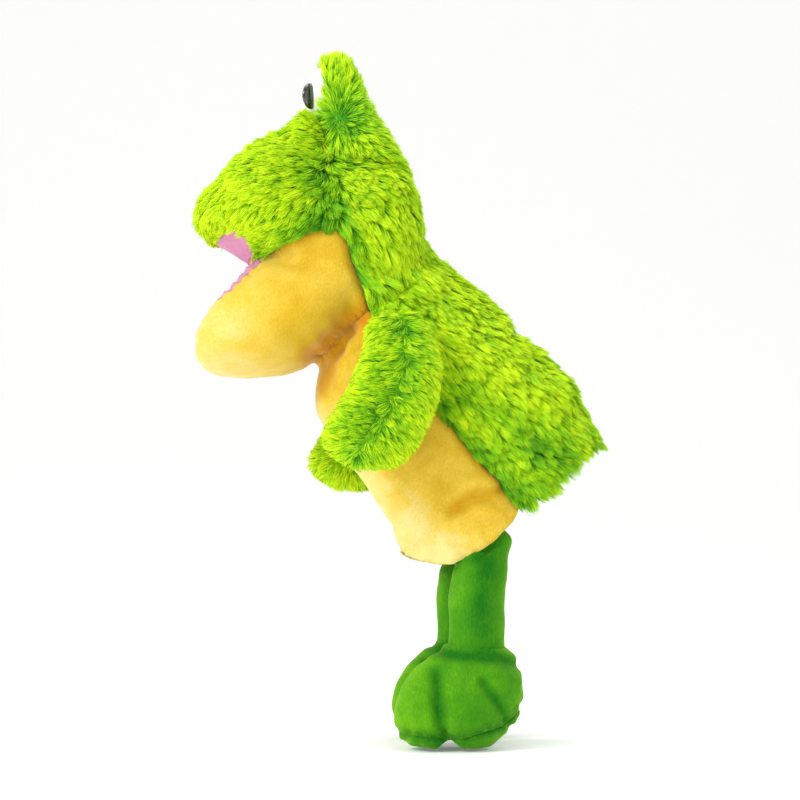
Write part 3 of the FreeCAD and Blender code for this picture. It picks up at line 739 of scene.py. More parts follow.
def brushed_pile_group():
    """Short plush pile: fine grain, and wide patches where the pile is brushed another way."""
    name = "Brushed pile"
    if name in bpy.data.node_groups:
        return bpy.data.node_groups[name]
    group, start, end = new_group(
        name,
        [("Grain per metre", "NodeSocketFloat", 1500.0), ("Patch per metre", "NodeSocketFloat", 55.0)],
        [("Brushed", "NodeSocketFloat"), ("Grain", "NodeSocketFloat"), ("Height", "NodeSocketFloat")],
    )
    where = node(group, "TexCoord")
    grain = node(group, "TexNoise", noise_dimensions="3D")
    grain.inputs["Detail"].default_value = 2.0
    stretch = node(group, "Mapping")
    stretch.inputs["Scale"].default_value = (1.0, 1.0, 0.42)
    group.links.new(where.outputs["Object"], stretch.inputs["Vector"])
    group.links.new(stretch.outputs["Vector"], grain.inputs["Vector"])
    group.links.new(start.outputs["Grain per metre"], grain.inputs["Scale"])
    patch = node(group, "TexNoise", noise_dimensions="3D")
    patch.inputs["Detail"].default_value = 4.0
    patch.inputs["Distortion"].default_value = 0.6
    group.links.new(where.outputs["Object"], patch.inputs["Vector"])
    group.links.new(start.outputs["Patch per metre"], patch.inputs["Scale"])
    brushed = node(group, "MapRange", interpolation_type="SMOOTHSTEP")
    brushed.inputs["From Min"].default_value, brushed.inputs["From Max"].default_value = 0.34, 0.68
    group.links.new(patch.outputs["Fac"], brushed.inputs["Value"])
    group.links.new(brushed.outputs["Result"], end.inputs["Brushed"])
    group.links.new(grain.outputs["Fac"], end.inputs["Grain"])
    group.links.new(
        math_node(group, "MULTIPLY_ADD", grain.outputs["Fac"], 0.8), end.inputs["Height"]
    )
    return group


def weave_group():
    """Plain woven cloth: threads over and under, with uneven yarn."""
    name = "Plain weave"
    if name in bpy.data.node_groups:
        return bpy.data.node_groups[name]
    group, start, end = new_group(
        name,
        [("Threads per metre", "NodeSocketFloat", 1600.0)],
        [("Thread", "NodeSocketFloat"), ("Yarn", "NodeSocketFloat")],
    )
    where = node(group, "TexCoord")
    waves_out = []
    for direction in ("Y", "Z"):
        wave = node(group, "TexWave", bands_direction=direction, wave_type="BANDS")
        wave.inputs["Distortion"].default_value = 0.6
        wave.inputs["Detail"].default_value = 1.0
        group.links.new(where.outputs["Object"], wave.inputs["Vector"])
        group.links.new(start.outputs["Threads per metre"], wave.inputs["Scale"])
        waves_out.append(wave.outputs["Fac"])
    yarn = node(group, "TexNoise", noise_dimensions="3D")
    yarn.inputs["Scale"].default_value = 260.0
    group.links.new(where.outputs["Object"], yarn.inputs["Vector"])
    group.links.new(math_node(group, "MULTIPLY", *waves_out), end.inputs["Thread"])
    group.links.new(yarn.outputs["Fac"], end.inputs["Yarn"])
    return group


def placed(tree, group, **values):
    made = tree.nodes.new("ShaderNodeGroup")
    made.node_tree = group
    for label, value in values.items():
        made.inputs[label.replace("_", " ")].default_value = value
    return made


def ramp(tree, factor, stops):
    made = node(tree, "ValToRGB")
    elements = made.color_ramp.elements
    while len(elements) < len(stops):
        elements.new(0.5)
    for element, (place, colour) in zip(elements, stops):
        element.position, element.color = place, (*colour, 1.0)
    tree.links.new(factor, made.inputs["Fac"])
    return made.outputs["Color"]


def mixed(tree, factor, a, b, blend_type="MIX"):
    made = node(tree, "Mix", data_type="RGBA", blend_type=blend_type)
    inputs = [made.inputs[0], made.inputs[6], made.inputs[7]]
    for socket, value in zip(inputs, (factor, a, b)):
        if isinstance(value, bpy.types.NodeSocket):
            tree.links.new(value, socket)
        elif isinstance(value, (int, float)):
            socket.default_value = value
        else:
            socket.default_value = (*value, 1.0)
    return made.outputs[2]


def begin(name, roughness, **sockets):
    finish = bpy.data.materials.new(name)
    finish.use_nodes = True
    tree = finish.node_tree
    shader = tree.nodes["Principled BSDF"]
    shader.inputs["Roughness"].default_value = roughness
    for label, value in sockets.items():
        shader.inputs[label.replace("_", " ")].default_value = value
    return finish, tree, shader


def bump(tree, shader, height, strength, distance):
    made = node(tree, "Bump")
    made.inputs["Strength"].default_value = strength
    made.inputs["Distance"].default_value = distance
    tree.links.new(height, made.inputs["Height"])
    tree.links.new(made.outputs["Normal"], shader.inputs["Normal"])


def make_green_fur(colours):
    finish, tree, shader = begin("green_fur", 0.62, Specular_IOR_Level=0.22, Sheen_Weight=0.12, Sheen_Roughness=0.5)
    shader.inputs["Sheen Tint"].default_value = (0.75, 1.0, 0.25, 1.0)
    run = node(tree, "UVMap", uv_map="OFBake")
    parts = node(tree, "SeparateXYZ")
    tree.links.new(run.outputs["UV"], parts.inputs["Vector"])
    tone, along = parts.outputs["X"], parts.outputs["Y"]
    # The level follows each lock's tone, which is random tone with painted light and shade; the rise along the lock
    # darkens the roots as painted shade deep in the pile.
    level = math_node(tree, "MULTIPLY_ADD", tone, 0.95)
    level.node.inputs[2].default_value = -0.09
    rise = math_node(tree, "MULTIPLY_ADD", along, 0.42)
    rise.node.inputs[2].default_value = -0.08
    total = math_node(tree, "ADD", level, rise, clamp=True)
    root, mid, tip = colours.fur_root, colours.fur_mid, colours.fur_tip
    colour = ramp(
        tree,
        total,
        [
            (0.0, root),
            (0.22, [0.6 * r + 0.4 * m for r, m in zip(root, mid)]),
            (0.42, mid),
            (0.64, [0.45 * m + 0.55 * t for m, t in zip(mid, tip)]),
            (0.85, tip),
        ],
    )
    tree.links.new(colour, shader.inputs["Base Color"])
    return finish


def make_plush(name, stops, grain_scale, sheen, tint, patch):
    finish, tree, shader = begin(
        name, 0.82, Specular_IOR_Level=0.15, Sheen_Weight=sheen, Sheen_Roughness=0.42
    )
    shader.inputs["Sheen Tint"].default_value = (*tint, 1.0)
    pile = placed(tree, brushed_pile_group(), Grain_per_metre=grain_scale, Patch_per_metre=48.0)
    # The point attribute read here holds painted light and shade; the brushed patches and the grain are the pile's
    # own random tone.
    painted_light_and_shade = node(tree, "Attribute", attribute_name="painted_light_and_shade")
    patches = math_node(tree, "MULTIPLY_ADD", pile.outputs["Brushed"], patch)
    patches.node.inputs[2].default_value = -0.5 * patch
    speckle = math_node(tree, "MULTIPLY_ADD", pile.outputs["Grain"], 0.55)
    speckle.node.inputs[2].default_value = -0.28
    factor = math_node(tree, "ADD", math_node(tree, "ADD", patches, speckle), painted_light_and_shade.outputs["Fac"], clamp=True)
    tree.links.new(ramp(tree, factor, stops), shader.inputs["Base Color"])
    bump(tree, shader, pile.outputs["Height"], 0.55, 0.0006)
    return finish


def make_woven(name, colour, roughness, threads, sheen=0.15):
    finish, tree, shader = begin(name, roughness, Specular_IOR_Level=0.25, Sheen_Weight=sheen)
    weave = placed(tree, weave_group(), Threads_per_metre=threads)
    dark = [0.72 * c for c in colour]
    shade = math_node(tree, "MULTIPLY_ADD", weave.outputs["Thread"], 0.5)
    tree.links.new(weave.outputs["Yarn"], shade.node.inputs[2])
    tree.links.new(mixed(tree, shade, dark, colour), shader.inputs["Base Color"])
    bump(tree, shader, weave.outputs["Thread"], 0.35, 0.0003)
    return finish


def make_eye_white(_):
    finish, tree, shader = begin(
        "white_plastic", 0.16, Specular_IOR_Level=0.5, Coat_Weight=0.5, Coat_Roughness=0.06
    )
    where = node(tree, "TexCoord")
    cloud = node(tree, "TexNoise")
    cloud.inputs["Scale"].default_value = 70.0
    tree.links.new(where.outputs["Object"], cloud.inputs["Vector"])
    tree.links.new(
        ramp(tree, cloud.outputs["Fac"], [(0.3, (0.80, 0.82, 0.80)), (0.7, (0.88, 0.89, 0.87))]),
        shader.inputs["Base Color"],
    )
    scuffs = node(tree, "TexNoise")
    scuffs.inputs["Scale"].default_value = 900.0
    tree.links.new(where.outputs["Object"], scuffs.inputs["Vector"])
    rough = node(tree, "MapRange")
    rough.inputs["To Min"].default_value, rough.inputs["To Max"].default_value = 0.10, 0.26
    tree.links.new(scuffs.outputs["Fac"], rough.inputs["Value"])
    tree.links.new(rough.outputs["Result"], shader.inputs["Roughness"])
    return finish


def make_black(_):
    finish, tree, shader = begin(
        "black_plastic", 0.08, Specular_IOR_Level=0.6, Coat_Weight=1.0, Coat_Roughness=0.03
    )
    where = node(tree, "TexCoord")
    dust = node(tree, "TexNoise")
    dust.inputs["Scale"].default_value = 1300.0
    tree.links.new(where.outputs["Object"], dust.inputs["Vector"])
    tree.links.new(
        ramp(tree, dust.outputs["Fac"], [(0.55, (0.003, 0.003, 0.004)), (0.85, (0.02, 0.02, 0.022))]),
        shader.inputs["Base Color"],
    )
    return finish


def make_speckled(name, light, dark, scale, roughness, height=0.4):
    finish, tree, shader = begin(name, roughness, Specular_IOR_Level=0.25)
    where = node(tree, "TexCoord")
    fibres = node(tree, "TexNoise")
    fibres.inputs["Scale"].default_value = scale
    fibres.inputs["Detail"].default_value = 5.0
    tree.links.new(where.outputs["Object"], fibres.inputs["Vector"])
    tree.links.new(ramp(tree, fibres.outputs["Fac"], [(0.3, dark), (0.7, light)]), shader.inputs["Base Color"])
    bump(tree, shader, fibres.outputs["Fac"], height, 0.0008)
    return finish


MADE = {}


def material(name):
    if name in MADE:
        return MADE[name]
    colours = bpy.context.scene.puppet_colours
    makers = {
        "green_fur": lambda: make_green_fur(colours),
        "yellow_plush": lambda: make_plush(
            "yellow_plush",
            [(0.0, colours.belly_fold_shade), (0.34, colours.belly_dark), (0.68, colours.belly), (1.0, colours.belly_painted_light)],
            1500.0, 0.45, (1.0, 0.95, 0.62), 0.22,
        ),
        "green_plush": lambda: make_plush(
            "green_plush",
            [(0.0, colours.leg_dark), (0.5, colours.leg), (1.0, colours.leg_pale)],
            1250.0, 0.45, (0.55, 1.0, 0.08), 0.25,
        ),
        "pink_lining": lambda: make_woven("pink_lining", colours.mouth, 0.6, 1500.0),
        "grey_lining": lambda: make_woven("grey_lining", colours.lining, 0.75, 1100.0),
        "felt_board": lambda: make_speckled("felt_board", (0.30, 0.31, 0.29), (0.16, 0.17, 0.16), 420.0, 0.95),
        "stuffing": lambda: make_speckled("stuffing", (0.86, 0.86, 0.83), (0.58, 0.58, 0.55), 240.0, 0.95, 0.8),
        "white_plastic": lambda: make_eye_white(colours),
        "black_plastic": lambda: make_black(colours),
        "washer_plastic": lambda: make_speckled(
            "washer_plastic", (0.66, 0.66, 0.62), (0.50, 0.50, 0.47), 500.0, 0.45, 0.1
        ),
    }
    MADE[name] = makers[name]()
    return MADE[name]



# ---------------------------------------------------------------- pieces


def finish_piece(piece, finish):
    piece.data.materials.clear()
    piece.data.materials.append(material(finish))
    smooth_shade(piece)
    return piece


def paint_light_and_shade(piece, values):
    """Painted light and shade on the short pile at each point: 0 painted shade, 1 painted light."""
    painted_light_and_shade = piece.data.attributes.new("painted_light_and_shade", "FLOAT", "POINT")
    painted_light_and_shade.data.foreach_set("value", np.clip(values, 0, 1))


def yellow_light_and_shade(points):
    """Painted shade deep in the throat and along seams, painted light on the jaw's tip and the belly's front and hem.
    """
    y, z = points[:, 1], points[:, 2]
    pale = step_between(y + 0.25 * (z - 0.09), -0.118, -0.165)
    belly_painted_light = step_between(z, 0.070, 0.052) * (
        0.75 * step_between(y + 0.83 * z, -0.028, -0.066) + 0.45 * step_between(z, 0.004, -0.026)
    )
    fold = np.maximum(near_line(points, CREASE[:3], 15), 0.9 * near_line(points, THROAT_FOLD, 9))
    seam = np.maximum(near_line(points, SEAM[2:], 6), 0.9 * near_line(points, HEM_FOLD, 7))
    return 0.50 + 0.38 * pale + 0.42 * belly_painted_light - 0.46 * fold - 0.26 * seam + 0.06 * waves(points, 91, 0.035)


def leg_light_and_shade(points, side):
    """Painted shade down the outer middle and in the creases, lighter at the rims, painted shade under the foot and
    painted light on the front.
    """
    y, z = points[:, 1], points[:, 2]
    band = np.exp(-(((y + 0.017) / 0.008) ** 2)) * step_between(z, -0.086, -0.074)
    crease = np.maximum.reduce([near_line(points, line, 5) for line in (*TOES, ANKLE_FOLD, SOLE_SEAM)])
    under = step_between(z, -0.121, -0.128)
    front = step_between(y, -0.040, -0.058)
    return 0.50 - 0.42 * band - 0.42 * crease - 0.20 * under + 0.22 * front + 0.05 * waves(points, 95, 0.02)


def walled(piece, thickness):
    """Give a skin its cloth thickness, inward."""
    apply(piece, "SOLIDIFY", thickness=thickness, offset=-1.0)
    return piece


def plumped(piece, pressure=4.0, cap=0.0016):
    """Swell a closed skin as its filling does, no point further than the cap."""
    scene = bpy.context.scene
    before = coordinates(piece.data)
    activate(piece)
    modifier = piece.modifiers.new("Cloth", "CLOTH")
    settings = modifier.settings
    settings.quality = 5
    settings.use_pressure = True
    settings.uniform_pressure_force = pressure
    settings.effector_weights.gravity = 0
    for moment in range(1, 21):
        scene.frame_set(moment)
    bpy.ops.object.modifier_apply(modifier=modifier.name)
    scene.frame_set(1)
    after = coordinates(piece.data)
    move = after - before
    far = np.linalg.norm(move, axis=1)
    move *= np.minimum(1, cap / np.maximum(far, 1e-9))[:, None]
    set_coordinates(piece.data, before + move)
    return piece


def soft_form():
    """Trunk, head and jaw as one skin, with its seams drawn in."""
    solids = [soft_solid(part) for part in (TRUNK, SKULL, MUZZLE)]
    solids += [soft_solid(LID, x=EYE_X * side) for _, side in SIDES]
    form = fused("soft_form", solids)
    mesh = form.data
    points, normals = coordinates(mesh), vertex_normals(mesh)
    above = inside(points[:, 1:], LOWER_LIP + [MOUTH_MIDDLE])
    laid, _, _ = to_line(points[:, 1:], LOWER_LIP)
    points[above, 1:] = laid[above]
    floor = above & inside(points[:, :2], FLOOR_EDGE)
    points[floor, 2] -= 0.0013
    side = np.clip(np.abs(normals[:, 0]) * 1.6, 0, 1)
    y, z = points[:, 1], points[:, 2]
    lift = 0.0007 * waves(points, 21, 0.030)
    lift -= 0.0022 * near_line(points, SEAM[1:], 5)
    lift -= 0.0042 * near_line(points, CREASE[:3], 8) * (0.35 + 0.65 * side)
    lift -= 0.0036 * near_line(points, PLEAT, 5)
    lift += 0.0030 * near_line(points, [(30, 84), (48, 60)], 14)
    _, gap, run = to_line(points[:, 1:], LOWER_LIP)
    lift += 0.0007 * np.sin(run / 0.0062 * 2 * math.pi) * (1 - step_between(gap, 0.001, 0.009)) * ~above
    _, gap, run = to_line(points[:, 1:], HEM)
    belly_side = 1 - step_between(y, 0.005, 0.03)
    ridges = np.sin(run / 0.019 * 2 * math.pi + gap * 120) + 0.6 * np.sin(run / 0.0085 * 2 * math.pi - gap * 200)
    lift += 0.0010 * ridges * (1 - step_between(gap, 0.002, 0.034)) * belly_side
    lift -= 0.0026 * near_line(points, THROAT_FOLD, 5) * side
    lift -= 0.0030 * near_line(points, HEM_FOLD, 6) * side
    lift += 0.0022 * near_line(points, [(-34, 5), (-22, 12), (-12, 13)], 7) * side
    lift += 0.0026 * near_line(points, [(-36, -12), (-22, -6), (-8, -2)], 7) * side
    _, gap, run = to_line(points[:, 1:], CREASE[1:3])
    lift += 0.0009 * np.sin(run / 0.0105 * 2 * math.pi + 1.0) * (1 - step_between(gap, 0.003, 0.020)) * side
    points = points + normals * lift[:, None]
    set_coordinates(mesh, points)
    return form


def regions(form):
    """Which faces belong to which cloth, after the seams are drawn straight."""
    mesh = form.data
    for _ in range(2):
        middle = face_centres(mesh)[:, 1:]
        upper_mouth = inside(middle, UPPER_LIP + [MOUTH_MIDDLE])
        lifted = middle + np.array([0.0, 0.0045])
        plan = face_centres(mesh)[:, :2]
        facing = face_normals(mesh) @ np.array([0, -0.70, 0.71])
        lower_mouth = inside(lifted, LOWER_LIP + MOUTH_ROOM) & inside(plan, FLOOR_EDGE) & (facing > 0.45)
        upper_mouth &= ~lower_mouth
        mouth = upper_mouth | lower_mouth
        yellow = inside(middle, SEAM + YELLOW_REST) & ~mouth
        jaw = inside(middle, CREASE + [(-200, 56), (-200, 160), (-60, 160)]) & yellow
        beyond = inside(middle, HEM + [(90, -95), (-90, -95)])
        green = ~yellow & ~mouth
        head = inside(middle, NAPE + [(40, 260), (-200, 260), (-200, 114)]) & green
        for region, line in (
            (upper_mouth, UPPER_LIP),
            (yellow, SEAM[1:]),
            (jaw, CREASE),
            (head, NAPE),
            (beyond, HEM),
        ):
            snap(form, region, line, 0.0022)
        snap(form, lower_mouth, FLOOR_EDGE, 0.0022, (0, 1))
    return {
        "upper_mouth": upper_mouth,
        "lower_mouth": lower_mouth,
        "jaw": jaw,
        "belly": yellow & ~jaw & ~beyond,
        "head": head,
        "back": green & ~head & ~beyond,
        "sleeve": (inside(middle, HEM + [(90, 122), (-90, 122)]) & ~mouth) & ~beyond,
    }


def neck_bend(piece):
    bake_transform(piece)


class PUPPET_OT_body(bpy.types.Operator):
    """One soft form for trunk, head and jaw, parted along its seams, with fur on the green parts"""

    bl_idname = "puppet.body"
    bl_label = "Body, head and jaw"

    def execute(self, context):
        sizes = context.scene.puppet_sizes
        form = soft_form()
        part = regions(form)
        x = face_centres(form.data)[:, 0]

        sleeve = take_faces(form, "sleeve_lining_cloth", part["sleeve"])
        normals = vertex_normals(sleeve.data)
        set_coordinates(sleeve.data, coordinates(sleeve.data) - normals * 0.0026)
        walled(sleeve, 0.0008)
        finish_piece(sleeve, "grey_lining")
        neck_bend(sleeve)
        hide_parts("sleeve_lining")

        belly = walled(take_faces(form, "belly_cloth", part["belly"]), sizes.cloth)
        finish_piece(belly, "yellow_plush")
        paint_light_and_shade(belly, yellow_light_and_shade(coordinates(belly.data)))
        neck_bend(belly)
        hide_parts("belly_panel")

        jaw = walled(take_faces(form, "jaw_and_cheeks", part["jaw"]), sizes.cloth)
        finish_piece(jaw, "yellow_plush")
        paint_light_and_shade(jaw, yellow_light_and_shade(coordinates(jaw.data)))
        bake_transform(jaw)
        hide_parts("jaw_cover", "throat_panel")

        for name, region, body, node_name, flat in (
            ("upper_mouth_cloth", "upper_mouth", "head", "upper_mouth_lining", (0.057, 0.028)),
            ("lower_mouth_cloth", "lower_mouth", "jaw", "lower_mouth_lining", (0.060, 0.040)),
        ):
            cloth = walled(take_faces(form, name, part[region]), 0.0012)
            finish_piece(cloth, "pink_lining")
            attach(cloth, body)
            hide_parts(node_name)

        middle = face_centres(form.data)[:, 1:]
        front = middle[:, 0] < -0.101
        tail = inside(middle, RUMP)
        for word, side in SIDES:
            half = x * side > 0
            for name, region, kind, node_names in (
                ("snout_fur", part["head"] & front, HEAD_COAT, ()),
                ("head_fur", part["head"] & ~front, HEAD_COAT, (f"head_cover_{word}", "nape_cover")),
                ("shoulder_fur", part["back"] & ~tail, BACK_COAT, (f"back_cover_{word}",)),
                ("tail_fur", part["back"] & tail, BACK_COAT, ()),
            ):
                seed, comb, tone, pile = kind
                skin = take_faces(form, f"{name}_skin_{word}", region & half)
                coat = furred_half(
                    f"{name}_{word}", skin, sizes.coat_locks, seed + side, comb, tone, pile, wall=sizes.cloth
                )
                neck_bend(coat)
                if node_names:
                    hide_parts(*node_names)
        bpy.data.objects.remove(form)
        return {"FINISHED"}


def head_pile(points):
    """Shorter round the lips, full on top."""
    y, z = points[:, 1], points[:, 2]
    short = near_line(points, UPPER_LIP, 12)
    return 0.0085 * (1 - 0.5 * short) * (1 + 0.10 * step_between(z, 0.17, 0.20))


def back_pile(points):
    return 0.0105 * (1 - 0.15 * near_line(points, SEAM[10:], 8))


def furred_half(name, skin, count, seed, comb, tone, pile, **shape):
    return fur_piece(name, skin, count, seed, comb, tone, pile, bpy.context.scene.puppet_sizes.blade_width, **shape)


HEAD_COAT = (31, head_comb, head_tone, head_pile)
BACK_COAT = (41, back_comb, back_tone, back_pile)
RUMP = [(-60, -20), (-28, 28), (-16, 46), (4, 66), (26, 92), (60, 120), (90, 120), (90, -60)]


class PUPPET_OT_eyes(bpy.types.Operator):
    """Furred eye hoods, eyeballs and pupils"""

    bl_idname = "puppet.eyes"
    bl_label = "Eyes"

    def execute(self, context):
        sizes = context.scene.puppet_sizes
        for word, side in SIDES:
            hood = fused(f"hood_skin_{word}", [soft_solid(HOOD, x=EYE_X * side)], voxel=0.0018, smoothing=3)
            plumped(hood, cap=0.0008)
            middle = face_centres(hood.data)
            centre = EYE * np.array([side, 1, 1])
            ball = (middle - centre) / EYE_SOCKET
            kept = take_faces(hood, f"hood_shell_{word}", (ball**2).sum(1) > 1)
            bpy.data.objects.remove(hood)
            hood = fur_piece(
                f"eye_hood_fur_{word}", kept, sizes.hood_locks, 51 + side, hood_comb, hood_tone,
                lambda at: 0.0068 + 0 * at[:, 0], sizes.blade_width * 0.9, clump=0.0026,
            )
            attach(hood, "head")
            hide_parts(f"eye_hood_{word}")

            deselect_all()
            bpy.ops.mesh.primitive_uv_sphere_add(segments=64, ring_count=40, radius=1.0)
            ball = bpy.context.object
            ball.name = f"eyeball_dome_{word}"
            set_coordinates(ball.data, coordinates(ball.data) * EYE_HALF + centre)
            finish_piece(ball, "white_plastic")
            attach(ball, "head")
            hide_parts(f"eyeball_{word}")

            deselect_all()
            bpy.ops.mesh.primitive_uv_sphere_add(segments=56, ring_count=28, radius=1.0)
            pupil = bpy.context.object
            pupil.name = f"pupil_dome_{word}"
            sin_tilt, cos_tilt = math.sin(PUPIL_TILT), math.cos(PUPIL_TILT)
            sin_turn, cos_turn = math.sin(PUPIL_TURN), math.cos(PUPIL_TURN)
            local = coordinates(pupil.data) * PUPIL_HALF
            local = local @ np.array([[cos_tilt, 0, sin_tilt], [0, 1, 0], [-sin_tilt, 0, cos_tilt]])
            local = local @ np.array([[cos_turn, sin_turn, 0], [-sin_turn, cos_turn, 0], [0, 0, 1]]).T
            local = local + np.array([sin_turn * PUPIL_REACH, -cos_turn * PUPIL_REACH, -PUPIL_DROP])
            local[:, 0] *= side
            set_coordinates(pupil.data, local + centre)
            outward(pupil)
            finish_piece(pupil, "black_plastic")
            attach(pupil, "head")
            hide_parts(f"pupil_{word}")
        return {"FINISHED"}


class PUPPET_OT_arms(bpy.types.Operator):
    """Furred paddle arms"""

    bl_idname = "puppet.arms"
    bl_label = "Arms"

    def execute(self, context):
        sizes = context.scene.puppet_sizes
        for word, side in SIDES:
            skin = fused(f"arm_skin_{word}", [soft_solid(ARM, x=ARM_X * side)], voxel=0.0020, smoothing=4)
            plumped(skin, cap=0.0012)
            if side < 0:
                points = coordinates(skin.data)
                low = step_between(points[:, 2], 0.085, 0.035)
                points[:, 2] -= 0.009 * low
                points[:, 1] -= 0.002 * low
                set_coordinates(skin.data, points)
            arm = fur_piece(
                f"arm_fur_{word}", skin, sizes.arm_locks, 61 + side, arm_comb, arm_tone,
                lambda at: 0.0060 + 0 * at[:, 0], sizes.blade_width * 0.9, rise=(52, 10), clump=0.0027,
            )
            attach(arm, f"arm_{word}")
            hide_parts(f"arm_cover_{word}")
        return {"FINISHED"}


class PUPPET_OT_legs(bpy.types.Operator):
    """Short-pile legs and feet, with soles"""

    bl_idname = "puppet.legs"
    bl_label = "Legs and feet"

    def execute(self, context):
        for word, side in SIDES:
            leg = fused(f"leg_plush_{word}", [soft_solid(LEG, x=LEG_X * side)], voxel=0.0019, smoothing=4)
            plumped(leg, cap=0.0012)
            points, normals = coordinates(leg.data), vertex_normals(leg.data)
            points[:, 0] += side * 0.0012 * step_between(points[:, 2], -0.026, -0.002)
            lift = 0.0005 * waves(points, 71 + side, 0.022)
            lift -= 0.0016 * near_line(points, [(-30, -34), (-22, -30), (-12, -22)], 3.5)
            lift += 0.0008 * near_line(points, [(-27, -38), (-18, -32), (-9, -24)], 3.5)
            set_coordinates(leg.data, points + normals * lift[:, None])
            finish_piece(leg, "green_plush")
            paint_light_and_shade(leg, leg_light_and_shade(coordinates(leg.data), side))
            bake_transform(leg)
            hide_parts(f"leg_cover_{word}", f"leg_strap_{word}")

            foot = fused(f"foot_form_{word}", [soft_solid(FOOT, x=LEG_X * side)], voxel=0.0019, smoothing=4)
            plumped(foot, cap=0.0014)
            points, normals = coordinates(foot.data), vertex_normals(foot.data)
            lift = 0.0006 * waves(points, 81 + side, 0.018)
            lift -= 0.0050 * near_line(points, TOES[0], 6.5) + 0.0022 * near_line(points, TOES[1], 5)
            lift -= 0.0016 * near_line(points, ANKLE_FOLD, 4)
            lift += 0.0016 * near_line(points, [(-12, -88), (0, -93)], 5)
            lift -= 0.0017 * near_line(points, SOLE_SEAM, 3.5)
            _, gap, run = to_line(points[:, 1:], SOLE_SEAM)
            lift += 0.0006 * np.sin(run / 0.006 * 2 * math.pi) * (1 - step_between(gap, 0.002, 0.009))
            points = points + normals * lift[:, None]
            points[:, 2] = np.maximum(points[:, 2], -0.1289)
            points[:, 1] += 0.004 if side < 0 else 0.0
            set_coordinates(foot.data, points)
            below = face_centres(foot.data)
            sole_line, _, _ = to_line(below[:, 1:], SOLE_SEAM)
            under = below[:, 2] < sole_line[:, 1]
            snap(foot, under, SOLE_SEAM, 0.002)
            upper = take_faces(foot, f"foot_plush_{word}", ~under)
            sole = take_faces(foot, f"sole_plush_{word}", under)
            bpy.data.objects.remove(foot)
            for piece, node_name in ((upper, "foot_upper"), (sole, "foot_sole")):
                walled(piece, 0.0012)
                finish_piece(piece, "green_plush")
                paint_light_and_shade(piece, leg_light_and_shade(coordinates(piece.data), side))
                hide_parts(f"{node_name}_{word}")
            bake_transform(upper)
            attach(sole, f"foot_{word}")
        return {"FINISHED"}


class PUPPET_OT_inner_parts(bpy.types.Operator):
    """Boards, pockets, stuffing and washers, tucked inside their soft covers"""

    bl_idname = "puppet.inner_parts"
    bl_label = "Inner parts"

    def execute(self, context):
        for name, size, shift, finish, body in TUCKED:
            for word, _ in SIDES if "%" in name else (("", 0),):
                source, owner = name.replace("%", word), body.replace("%", word)
                deselect_all()
                carried = bpy.data.objects[source]
                piece = bpy.data.objects.new(f"{source}_inside", carried.data.copy())
                context.collection.objects.link(piece)
                outward(piece)
                points = coordinates(piece.data)
                middle = (points.max(0) + points.min(0)) / 2
                set_coordinates(piece.data, middle + (points - middle) * size + np.array(shift) * MM)
                finish_piece(piece, finish)
                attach(piece, owner)
                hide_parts(source)
        return {"FINISHED"}


TUCKED = (
    ("upper_mouth_board", (0.78, 0.80, 0.80), (0, 2, 5.5), "felt_board", "head"),
    ("lower_mouth_board", (0.78, 0.80, 0.80), (0, 4.5, -4.5), "felt_board", "jaw"),
    ("finger_pocket", (0.80, 0.84, 0.74), (0, 1, 5), "grey_lining", "head"),
    ("thumb_pocket", (0.80, 0.82, 0.74), (0, 3, -3), "grey_lining", "jaw"),
    ("head_padding", (0.84, 0.84, 0.80), (0, 1, 2), "stuffing", "head"),
    ("chin_padding", (0.70, 0.72, 0.66), (0, 2, 1), "stuffing", "jaw"),
    ("eye_washer_%", (0.7, 1.0, 0.7), (0, 0, -4), "washer_plastic", "head"),
    ("eye_filling_%", (0.66, 0.55, 0.70), (0, 0, -6), "stuffing", "head"),
    ("arm_filling_%", (0.80, 0.66, 0.74), (0, -1, 0), "stuffing", "arm_%"),
    ("leg_filling_%", (0.72, 0.74, 0.84), (0, -3, 0), "stuffing", "leg_%"),
    ("foot_filling_%", (0.66, 0.66, 0.58), (0, -1, 2), "stuffing", "foot_%"),
)


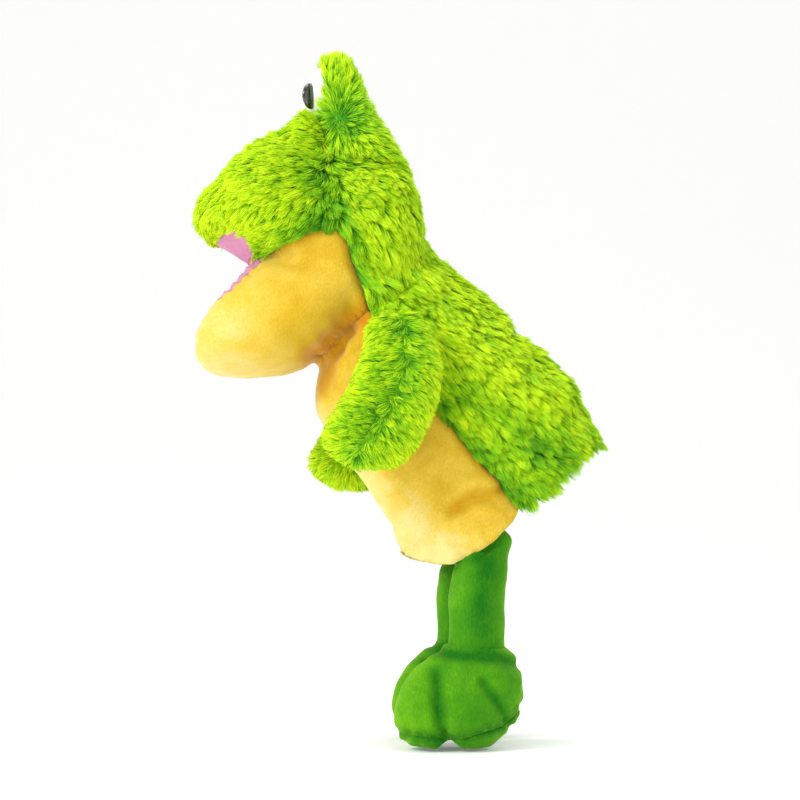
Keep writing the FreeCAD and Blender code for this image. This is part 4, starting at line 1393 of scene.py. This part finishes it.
class PUPPET_OT_stage(bpy.types.Operator):
    """Pale floor, soft lights and the camera"""

    bl_idname = "puppet.stage"
    bl_label = "Stage"

    def execute(self, context):
        sizes = context.scene.puppet_sizes
        deselect_all()
        low = CAD_BOX[0][2] - 0.0004
        bend = [math.radians(3 * k) for k in range(31)]
        profile = [(7, low), (-2, low)]
        profile += [(-2 - 3 * math.sin(a), low + 3 - 3 * math.cos(a)) for a in bend[1:]] + [(-5, low + 9)]
        points = [(x, y, z) for x, z in profile for y in (-14, 14)]
        faces = [(2 * k, 2 * k + 1, 2 * k + 3, 2 * k + 2) for k in range(len(profile) - 1)]
        floor = add_mesh("stage_floor", points, faces)
        smooth_shade(floor)
        pale, tree, shader = begin("pale_floor", 0.9, Specular_IOR_Level=0.1)
        shader.inputs["Base Color"].default_value = (0.93, 0.93, 0.92, 1.0)
        shader.inputs["Emission Color"].default_value = (1.0, 1.0, 1.0, 1.0)
        shader.inputs["Emission Strength"].default_value = 0.14
        floor.data.materials.append(pale)

        for name, place, power, size in (
            ("key_light", (1.0, -1.5, 1.1), 24, 0.7),
            ("fill_light", (1.6, 0.8, 0.5), 3, 1.4),
            ("top_light", (0.2, 0.0, 1.8), 11, 1.0),
            ("back_light", (-1.2, 0.9, 1.0), 7, 0.9),
        ):
            bpy.ops.object.light_add(type="AREA", location=place)
            lamp = bpy.context.object
            lamp.name = name
            lamp.data.energy, lamp.data.size = power, size
            lamp.rotation_euler = (Vector((0, -0.06, 0.06)) - lamp.location).to_track_quat("-Z", "Y").to_euler()
        world = bpy.data.worlds.new("studio")
        world.use_nodes = True
        world.node_tree.nodes["Background"].inputs["Color"].default_value = (1, 1, 1, 1)
        world.node_tree.nodes["Background"].inputs["Strength"].default_value = 0.80
        context.scene.world = world
        context.scene.view_settings.view_transform = "Standard"

        camera = bpy.data.cameras.new("camera")
        viewer = bpy.data.objects.new("camera", camera)
        context.collection.objects.link(viewer)
        turn, rise, reach = sizes.camera_turn, sizes.camera_rise, sizes.camera_distance
        aim = Vector((0.0, -0.058, 0.058))
        viewer.location = aim + reach * Vector(
            (math.sin(turn) * math.cos(rise), -math.cos(turn) * math.cos(rise), math.sin(rise))
        )
        viewer.rotation_euler = (aim - viewer.location).to_track_quat("-Z", "Y").to_euler()
        camera.lens = 18.0 / (0.220 / reach)
        camera.clip_start = 0.05
        context.scene.camera = viewer
        return {"FINISHED"}


class PUPPET_PT_panel(bpy.types.Panel):
    """Puppet pieces, sizes and colours"""

    bl_label = "Puppet"
    bl_idname = "PUPPET_PT_panel"
    bl_space_type = "VIEW_3D"
    bl_region_type = "UI"
    bl_category = "Puppet"

    def draw(self, context):
        for group in (context.scene.puppet_sizes, context.scene.puppet_colours):
            box = self.layout.box()
            for name in group.__annotations__:
                box.prop(group, name)
        for step in STEPS:
            self.layout.operator(step.bl_idname)


STEPS = (
    PUPPET_OT_stage,
    PUPPET_OT_body,
    PUPPET_OT_eyes,
    PUPPET_OT_arms,
    PUPPET_OT_legs,
    PUPPET_OT_inner_parts,
)
CLASSES = (PuppetSizes, PuppetColours, *STEPS, PUPPET_PT_panel)


def register():
    for made in CLASSES:
        bpy.utils.register_class(made)
    bpy.types.Scene.puppet_sizes = PointerProperty(type=PuppetSizes)
    bpy.types.Scene.puppet_colours = PointerProperty(type=PuppetColours)


def unregister():
    del bpy.types.Scene.puppet_sizes, bpy.types.Scene.puppet_colours
    for made in reversed(CLASSES):
        bpy.utils.unregister_class(made)


def main():
    register()
    for step in STEPS:
        group, name = step.bl_idname.split(".")
        getattr(getattr(bpy.ops, group), name)()


if __name__ == "__main__":
    main()
